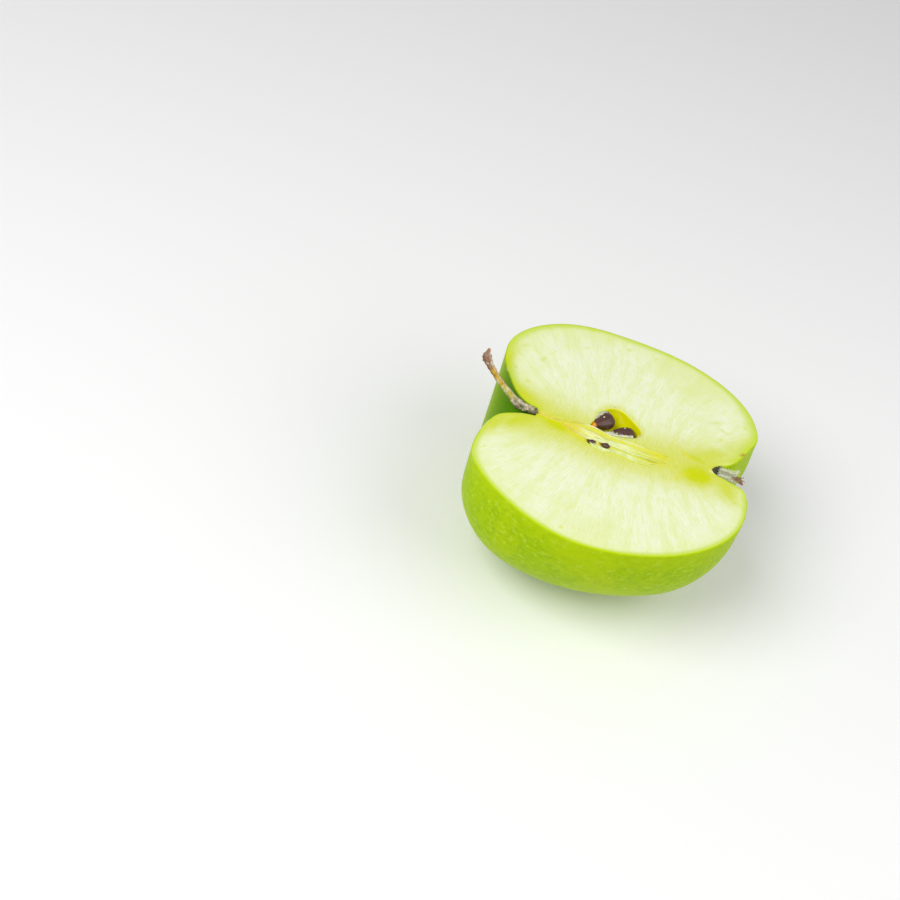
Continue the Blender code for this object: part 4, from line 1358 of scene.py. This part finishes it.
def face_height(flat, rim_flat, edge):
    """Height of the cut face at its points, the first of which are its rim."""
    height = core_relief(flat)
    height[:len(rim_flat)] = 0.0
    to_skin = distance_to_line(flat, rim_flat, closed=True)
    height *= np.clip(to_skin / RELIEF_START, 0.0, 1.0)
    groove = hump(to_skin, SKIN_GROOVE_PLACE, SKIN_GROOVE_WIDTH)
    height -= sizes().groove_depth / MM * groove * (to_skin > 0.0)
    lip = hump(distance_to_line(flat, edge, closed=True), 0.0, CHAMBER_LIP_WIDTH)
    height -= CHAMBER_LIP_DROP * lip * (to_skin > 0.0)
    return height


def make_body():
    """Skin, flesh and chamber wall as one closed mesh."""
    skin, from_cut, hollow_shade, tube = skin_grid()
    rows, columns = skin.shape[:2]
    index, faces = skin_faces(rows, columns)
    skin_points = np.concatenate((skin[:1, 0], skin[1:-1].reshape(-1, 3), skin[-1:, 0]))

    def by_point(grid):
        return np.concatenate((grid[:1, 0], grid[1:-1].ravel(), grid[-1:, 0]))

    rim = np.concatenate((index[:, 0], index[-2:0:-1, -1]))
    rim_flat = skin_points[rim, :2]
    edge = smooth_line(CHAMBER_EDGE, 6, closed=True)
    loose = loose_face_points(rim_flat, edge)
    flat = np.concatenate((rim_flat, edge, loose))
    rings = chamber_rings(edge)

    first_edge = len(skin_points)
    lifted = np.column_stack((flat, face_height(flat, rim_flat, edge)))[len(rim):]
    floor_point = np.array((*CHAMBER_MIDDLE, -sizes().chamber_depth / MM))[None, :]
    points = np.concatenate((skin_points, lifted, *rings, floor_point))
    where = np.concatenate((rim, first_edge + np.arange(len(edge) + len(loose)))).tolist()
    cut = [tuple(where[i] for i in triangle) for triangle in face_triangles(flat, rim_flat, edge)]

    count = len(edge)
    starts = [first_edge] + [first_edge + len(lifted) + count * k for k in range(len(rings))]
    wall = []
    for upper, lower in zip(starts, starts[1:]):
        wall += band(upper, lower, count)
    bottom = len(points) - 1
    wall += [(starts[-1] + j, bottom, starts[-1] + (j + 1) % count) for j in range(count)]

    everything = faces + cut + wall
    slots = [0] * len(faces) + [1] * len(cut) + [2] * len(wall)
    body = make_object("skin_and_flesh", points, everything,
                       [skin_material(), flesh_material(), lining_material()], slots)
    marks = face_marks(points[:, :2], rim_flat, edge)
    extra = len(points) - len(skin_points)
    # The masks for the stem hollow and the calyx tube say where shade is painted on the skin
    for name, grid in (("from_cut", from_cut), ("hollow_shade", hollow_shade), ("tube", tube)):
        give(body, name, np.concatenate((by_point(grid), np.zeros(extra))))
    for name, values in marks.items():
        give(body, name, values)
    give(body, "ray", ray_place(points[:, :2]))
    return body


def seed_shape(sides=36, steps=44):
    """Rings of a full-grown seed with its point at -X, in mm, before it is placed."""
    angles = np.linspace(0.03, math.pi - 0.02, steps)
    around = np.linspace(0.0, math.tau, sides, endpoint=False)
    radius = np.sin(angles) * np.sin(angles / 2.0) ** SEED_POINTEDNESS / SEED_PROFILE_PEAK
    ridge = 1.0 + SEED_RIDGES * np.cos(5.0 * around)[None, :] * np.sin(angles)[:, None]
    x = np.repeat(-np.cos(angles)[:, None], sides, axis=1) * SEED_LENGTH / 2.0
    y = radius[:, None] * np.cos(around)[None, :] * ridge * SEED_WIDTH / 2.0
    z = radius[:, None] * np.sin(around)[None, :] * ridge * SEED_THICKNESS / 2.0
    way = np.stack(np.broadcast_arrays(np.sin(around)[None, :], (angles / math.pi)[:, None],
                                       np.cos(around)[None, :]), axis=-1)
    return np.stack((x, y, z), axis=-1), way


def seed_matrix(name):
    middle, turns, scale = SEEDS[name]
    heading, pitch, roll = (math.radians(angle) for angle in turns)
    return (Matrix.Translation(Vector(middle)) @ Matrix.Rotation(heading, 4, "Z")
            @ Matrix.Rotation(-pitch, 4, "Y") @ Matrix.Rotation(roll, 4, "X") @ Matrix.Scale(scale, 4))


def placed(points, matrix):
    turn = np.array(matrix.to_3x3())
    return points @ turn.T + np.array(matrix.translation)


def make_seed(name, material):
    rings, way = seed_shape()
    points, faces = ringed(rings)
    points += SEED_DENTS * rough(points, 1.3)[:, None] * unit(points)
    seed = make_object("glossy_" + name, placed(points, seed_matrix(name)), faces, [material])
    give(seed, "way", capped(way))
    return seed


def near_spot(place):
    """How much a fleck covers each point, by how near the point is to the fleck's place."""
    x, y = place
    return lambda points: 1.2 - np.hypot(points[:, 0] - x, points[:, 1] - y) / FLECK_REACH


def beyond_plane(limit, way):
    """How much a veil covers each point, by how far the point is beyond the veil's limit."""
    return lambda points: (points - limit) @ np.array(way)


def seed_veil(name, keep, lift, label, material):
    """A ragged skin over the part of a seed that keep() picks, slightly off its surface."""
    rings, _ = seed_shape(64, 72)
    points, faces = ringed(rings)
    points = points + unit(points) * (lift * (1.0 + 0.9 * rough(points, 2.2)))[:, None]
    points = placed(points, seed_matrix(name))
    cover = keep(points) + VEIL_RAGGEDNESS * rough(points, 1.6, 4)
    kept = [face for face in faces if min(cover[list(face)]) > 0.0]
    return make_sheet(label, points, kept, np.clip(cover * 2.0, 0.0, 1.0), VEIL_THICKNESS, material)


def make_sheet(label, points, faces, cover, thickness, material):
    """A thin sheet from an open surface, with its thickness made real."""
    used = sorted({i for face in faces for i in face})
    number = {old: new for new, old in enumerate(used)}
    sheet = make_object(label, points[used], [tuple(number[i] for i in face) for face in faces],
                        [material], closed=False)
    give(sheet, "cover", cover[used])
    solid = sheet.modifiers.new("thickness", "SOLIDIFY")
    solid.thickness = thickness * MM
    solid.offset = 0.0
    mesh = mesh_with_modifiers(sheet, label)
    sheet.modifiers.remove(solid)
    sheet.data = mesh
    return sheet


def torn_edge(label, route, height, lean, steps, material):
    """A ragged strip of membrane that stands up along a route at the chamber's edge."""
    line = smooth_line(route, steps)
    along = unit(np.gradient(line[:, :2], axis=0))
    side = np.column_stack((-along[:, 1], along[:, 0]))
    rows = np.linspace(0.0, 1.0, 9)
    points = []
    for share in rows:
        row = line.copy()
        row[:, :2] += side * lean * share ** 1.5
        row[:, 2] += height * share
        waves = np.column_stack([rough(row + shift, 1.5) for shift in (0.0, 9.0, 18.0)])
        row += STRIP_WAVINESS * share * waves
        points.append(row)
    points = np.concatenate(points)
    count = len(line)
    share = np.repeat(rows, count)
    tears = STRIP_RAGGEDNESS * rough(points * (1.0, 1.0, 0.2), 0.9, 4)
    ragged = STRIP_FULL_SHARE + tears - share
    from_end = np.minimum(np.arange(count), np.arange(count)[::-1])
    ends = np.tile(from_end / STRIP_TAPER_STEPS, len(rows))
    cover = np.minimum(ragged, ends - STRIP_END_CUT)
    faces = []
    for i in range(len(rows) - 1):
        for j in range(count - 1):
            face = (i * count + j, i * count + j + 1, (i + 1) * count + j + 1, (i + 1) * count + j)
            if min(cover[list(face)]) > 0.0:
                faces.append(face)
    return make_sheet(label, points, faces, np.clip(0.45 + cover, 0.0, 1.0), STRIP_THICKNESS, material)


def tube_rings(line, radii, sides):
    """Rings round a line, kept from twisting, and the way out from the line to each point."""
    along = unit(np.gradient(line, axis=0))
    side = np.cross(along[0], (0.0, 0.0, 1.0))
    sides_of = []
    for direction in along:
        side = side - direction * (side @ direction)
        side /= np.linalg.norm(side)
        sides_of.append(side.copy())
    first = np.array(sides_of)
    second = np.cross(along, first)
    around = np.linspace(0.0, math.tau, sides, endpoint=False)
    spokes = (first[:, None, :] * np.cos(around)[None, :, None]
              + second[:, None, :] * np.sin(around)[None, :, None])
    return line[:, None, :] + spokes * radii[..., None], spokes


def make_stem():
    """The bent woody stem with ridges, a rough foot, a knob and a torn spur at its tip."""
    line = smooth_line([place for place, _ in STEM_LINE], 10)
    thickness = smooth_line([[t] for _, t in STEM_LINE], 10)[:, 0]
    lengths = np.concatenate(((0.0,), np.cumsum(np.linalg.norm(np.diff(line, axis=0), axis=1))))
    share = lengths / lengths[-1]
    sides = 40
    around = np.linspace(0.0, math.tau, sides, endpoint=False)
    gain = 1.0
    for middle, reach, more in (STEM_FOOT, STEM_KNOB):
        gain = gain + more * hump(share, middle, reach)
    depth = sizes().bark_depth / MM * gain
    ridge = 0.0
    for count, height, twist in STEM_RIDGES:
        ridge = ridge + height * np.cos(count * around[None, :] + twist * share[:, None])
    radii = thickness[:, None] / 2.0 + 0.5 * depth[:, None] * ridge
    rings, spokes = tube_rings(line, radii, sides)
    bumps = rough(rings.reshape(-1, 3), 1.4, 4).reshape(rings.shape[:2])
    rings = rings + spokes * (bumps * depth[:, None] * BARK_BUMP_GAIN)[..., None]
    points, faces = ringed(rings)
    stem = make_object("woody_stem", points, faces, [bark_material()])
    way = np.stack(np.broadcast_arrays(np.cos(around)[None, :], share[:, None],
                                       np.sin(around)[None, :]), axis=-1)
    give(stem, "way", capped(way))
    return stem


def leaf(line, width, thickness, cup, outward, steps=7, sides=18):
    """One pointed, cupped blade along a line, with its place along and across as a vector."""
    line = smooth_line(line, steps)
    count = len(line)
    share = np.linspace(0.0, 1.0, count)
    along = unit(np.gradient(line, axis=0))
    side = unit(np.cross(along, outward))
    up = np.cross(side, along)
    pointed = np.sqrt(np.clip(1.0 - share ** BLADE_BLUNTNESS, 0.0, 1.0))
    belly = 0.75 + 0.5 * share * (1.0 - share)
    half_width = width / 2.0 * pointed * belly + BLADE_TIP_HALF_WIDTH
    half_thick = thickness / 2.0 * (1.0 - BLADE_THINNING * share)
    around = np.linspace(0.0, math.tau, sides, endpoint=False)
    across = half_width[:, None] * np.cos(around)[None, :]
    thick = half_thick[:, None] * np.sin(around)[None, :] - cup * (across / (width / 2.0)) ** 2
    rings = line[:, None, :] + side[:, None, :] * across[..., None] + up[:, None, :] * thick[..., None]
    wrinkle = rough(rings.reshape(-1, 3), 1.3, 3).reshape(rings.shape[:2])
    rings = rings + up[:, None, :] * (BLADE_WRINKLE * wrinkle * (0.3 + share[:, None]))[..., None]
    sway = rough(line + 5.0, 0.7, 2) * share * BLADE_SWAY
    rings = rings + side[:, None, :] * sway[:, None, None]
    way = np.stack(np.broadcast_arrays(np.cos(around)[None, :], share[:, None],
                                       np.zeros((1, sides))), axis=-1)
    points, faces = ringed(rings)
    return points, faces, capped(way)


def sepal_lines():
    """Middle line and outward direction of each sepal."""
    lines = []
    for angle, spread, length, curl in SEPALS:
        turn, lift = math.radians(angle), math.radians(spread)
        outward = np.array((0.0, math.cos(turn), math.sin(turn)))
        base = CALYX_MIDDLE + (CUP_START_X, 0.0, 0.0) + outward * CUP_RADIUS
        reach = np.array((math.cos(lift), 0.0, 0.0)) + outward * math.sin(lift)
        bend = outward * curl
        lines.append(((base, base + reach * length * 0.4 - bend * 0.2, base + reach * length * 0.75,
                       base + reach * length + bend), outward))
    return lines


def make_sepals():
    shapes, ways = [], []
    for line, outward in sepal_lines():
        points, faces, way = leaf(line, SEPAL_WIDTH, SEPAL_THICKNESS, SEPAL_CUP, outward)
        shapes.append((points, faces))
        ways.append(way)
    points, faces = merge_shapes(shapes)
    sepals = make_object("felted_sepals", points, faces, [sepal_material()])
    give(sepals, "way", np.concatenate(ways))
    return sepals


def make_withered(material):
    """Brown crumpled tips at the very end of the calyx."""
    shapes = []
    root = np.array(WITHERED_ROOT)
    for number, tip in enumerate(WITHERED_TIPS):
        tip = np.array(tip)
        bow = np.array(WITHERED_BOWS[number % 2])
        line = (root, root + (tip - root) * 0.45 + bow, root + (tip - root) * 0.8, tip)
        outward = np.array((0.0, math.cos(number), 1.0))
        points, faces, _ = leaf(line, WITHERED_WIDTH, WITHERED_THICKNESS, WITHERED_CUP, outward,
                                steps=6, sides=14)
        shapes.append((points, faces))
    points, faces = merge_shapes(shapes)
    return make_object("withered_tips", points, faces, [material])


class FRUIT_OT_body(bpy.types.Operator):
    """Build the skin, the cut flesh and the wall of the seed chamber"""
    bl_idname = "fruit.body"
    bl_label = "Skin and flesh"

    def execute(self, context):
        settle(make_body(), "apple_half", slot="green_skin")
        return {"FINISHED"}


class FRUIT_OT_core(bpy.types.Operator):
    """Build the fibres that run along the core"""
    bl_idname = "fruit.core"
    bl_label = "Core fibres"

    def execute(self, context):
        lines = []
        for _, route, _, ridge in STRANDS:
            line = smooth_line(route, 4)
            lines.append(np.column_stack((line, np.full(len(line), ridge * CORE_GUIDE_SHARE))))
        guide = guide_lines("core_routes", lines)
        strands = grow(guide, fibre_tree(), "core_fibres", {
            **CORE_FIBRES, "Thickness": sizes().strand_thickness,
            "Seed": context.scene.stage_look.seed, "Material": strand_material()})
        bpy.data.objects.remove(guide)
        settle(strands)
        return {"FINISHED"}


class FRUIT_OT_seeds(bpy.types.Operator):
    """Build the four seeds, the torn white skin round them, and white flecks that paint highlights on
    them
    """
    bl_idname = "fruit.seeds"
    bl_label = "Seeds and membranes"

    def execute(self, context):
        coat = seed_material()
        for name in SEEDS:
            settle(make_seed(name, coat), name, slot="seed_coat")
        white = membrane_material()
        # Painted highlights on the seeds, as small white flecks
        for label, name, place in GLINT_FLECKS:
            settle(seed_veil(name, near_spot(place), FLECK_LIFT, label, white))
        for label, name, limit, way, lift in VEILS:
            settle(seed_veil(name, beyond_plane(limit, way), lift, label, white))
        for label, route, height, lean, steps in TORN_STRIPS:
            settle(torn_edge(label, route, height, lean, steps, white))
        return {"FINISHED"}


class FRUIT_OT_stem(bpy.types.Operator):
    """Build the bent stem"""
    bl_idname = "fruit.stem"
    bl_label = "Stem"

    def execute(self, context):
        settle(make_stem(), "stem", slot="stem_bark")
        return {"FINISHED"}


class FRUIT_OT_calyx(bpy.types.Operator):
    """Build the dried calyx: sepals, their wool, the withered tips and the stamens"""
    bl_idname = "fruit.calyx"
    bl_label = "Calyx"

    def execute(self, context):
        seed = context.scene.stage_look.seed
        sepals = settle(make_sepals(), "sepals", slot="sepal_wool")
        wool = grow(sepals, wool_tree(), "calyx_wool", {
            "Density": sizes().wool_density, "Length": sizes().wool_length,
            "Thickness": WOOL_THICKNESS, "Seed": seed, "Material": wool_material()})
        settle(wool)
        brown = withered_material()
        settle(make_withered(brown), "dry_stamens", slot="dry_stamen")
        lines = []
        for tip in STAMEN_TIPS:
            middle = np.mean((STAMEN_ROOT, tip), axis=0) + (0.0, 0.0, STAMEN_BOW)
            lines.append(smooth_line((STAMEN_ROOT, tuple(middle), tip), 6))
        guide = guide_lines("stamen_routes", lines)
        stamens = grow(guide, bpy.data.node_groups["fibre_bundle"], "fine_stamens", {
            **STAMEN_FIBRES, "Seed": seed + 1, "Material": brown})
        bpy.data.objects.remove(guide)
        settle(stamens)
        return {"FINISHED"}


def area_light(name, place, width, power):
    light = bpy.data.lights.new(name, "AREA")
    light.shape = "DISK"
    light.size = width
    light.energy = power
    thing = add_object(name, light)
    thing.location = place
    thing.rotation_euler = (Vector(LIGHT_AIM) - Vector(place)).to_track_quat("-Z", "Y").to_euler()


class FRUIT_OT_stage(bpy.types.Operator):
    """Build the pale floor, the soft lights and the camera"""
    bl_idname = "fruit.stage"
    bl_label = "Stage"

    def execute(self, context):
        look = context.scene.stage_look
        scene = context.scene
        bpy.ops.mesh.primitive_grid_add(x_subdivisions=8, y_subdivisions=8, size=FLOOR_SIZE)
        floor = context.object
        floor.name = "pale_floor"
        material, graph, shader = surface("pale_floor_finish", Specular_IOR_Level=0.2)
        clouds = graph.noise(graph.place(), 6.0, 2.0, 0.5)
        base = graph.mix(graph.math("MULTIPLY", clouds, 0.1), look.floor, FLOOR_CLOUD)
        dull = graph.remap(clouds, 0.3, 0.7, 0.6, 0.7, "LINEAR")
        connect(graph, shader, Base_Color=base, Roughness=dull)
        floor.data.materials.append(material)
        area_light("key_light", KEY_PLACE, KEY_WIDTH, look.key_power)
        area_light("fill_light", FILL_PLACE, FILL_WIDTH, look.fill_power)
        world = bpy.data.worlds.new("even_sky")
        world.use_nodes = True
        sky = world.node_tree.nodes["Background"]
        sky.inputs["Color"].default_value = (1.0, 1.0, 1.0, 1.0)
        sky.inputs["Strength"].default_value = look.sky
        scene.world = world
        lens = bpy.data.cameras.new("camera")
        lens.lens = CAMERA_LENS
        lens.sensor_width = CAMERA_SENSOR
        lens.clip_start = 0.01
        camera = add_object("camera", lens)
        up = CAMERA_BACK.cross(CAMERA_RIGHT)
        turn = Matrix((CAMERA_RIGHT, up, CAMERA_BACK)).transposed()
        camera.matrix_world = Matrix.Translation(Vector(to_row(CAMERA_PLACE))) @ turn.to_4x4()
        scene.camera = camera
        scene.view_settings.view_transform = "Standard"
        return {"FINISHED"}


class FRUIT_PT_panel(bpy.types.Panel):
    """Lists every step of the half"""
    bl_idname = "FRUIT_PT_panel"
    bl_label = "Green fruit half"
    bl_space_type = "VIEW_3D"
    bl_region_type = "UI"
    bl_category = "Fruit"

    def draw(self, context):
        for step in STEPS:
            self.layout.operator(step.bl_idname)


STEPS = (FRUIT_OT_body, FRUIT_OT_core, FRUIT_OT_seeds, FRUIT_OT_stem, FRUIT_OT_calyx, FRUIT_OT_stage)
CLASSES = (HalfSizes, HalfColours, StageLook, *STEPS, FRUIT_PT_panel)


def register():
    for one in CLASSES:
        bpy.utils.register_class(one)
    bpy.types.Scene.half_sizes = PointerProperty(type=HalfSizes)
    bpy.types.Scene.half_colours = PointerProperty(type=HalfColours)
    bpy.types.Scene.stage_look = PointerProperty(type=StageLook)


def unregister():
    del bpy.types.Scene.stage_look
    del bpy.types.Scene.half_colours
    del bpy.types.Scene.half_sizes
    for one in reversed(CLASSES):
        bpy.utils.unregister_class(one)


def main():
    register()
    for build in (grain_group, streak_group, speck_group):
        build()
    bpy.ops.fruit.body()
    bpy.ops.fruit.core()
    bpy.ops.fruit.seeds()
    bpy.ops.fruit.stem()
    bpy.ops.fruit.calyx()
    bpy.ops.fruit.stage()


if __name__ == "__main__":
    main()
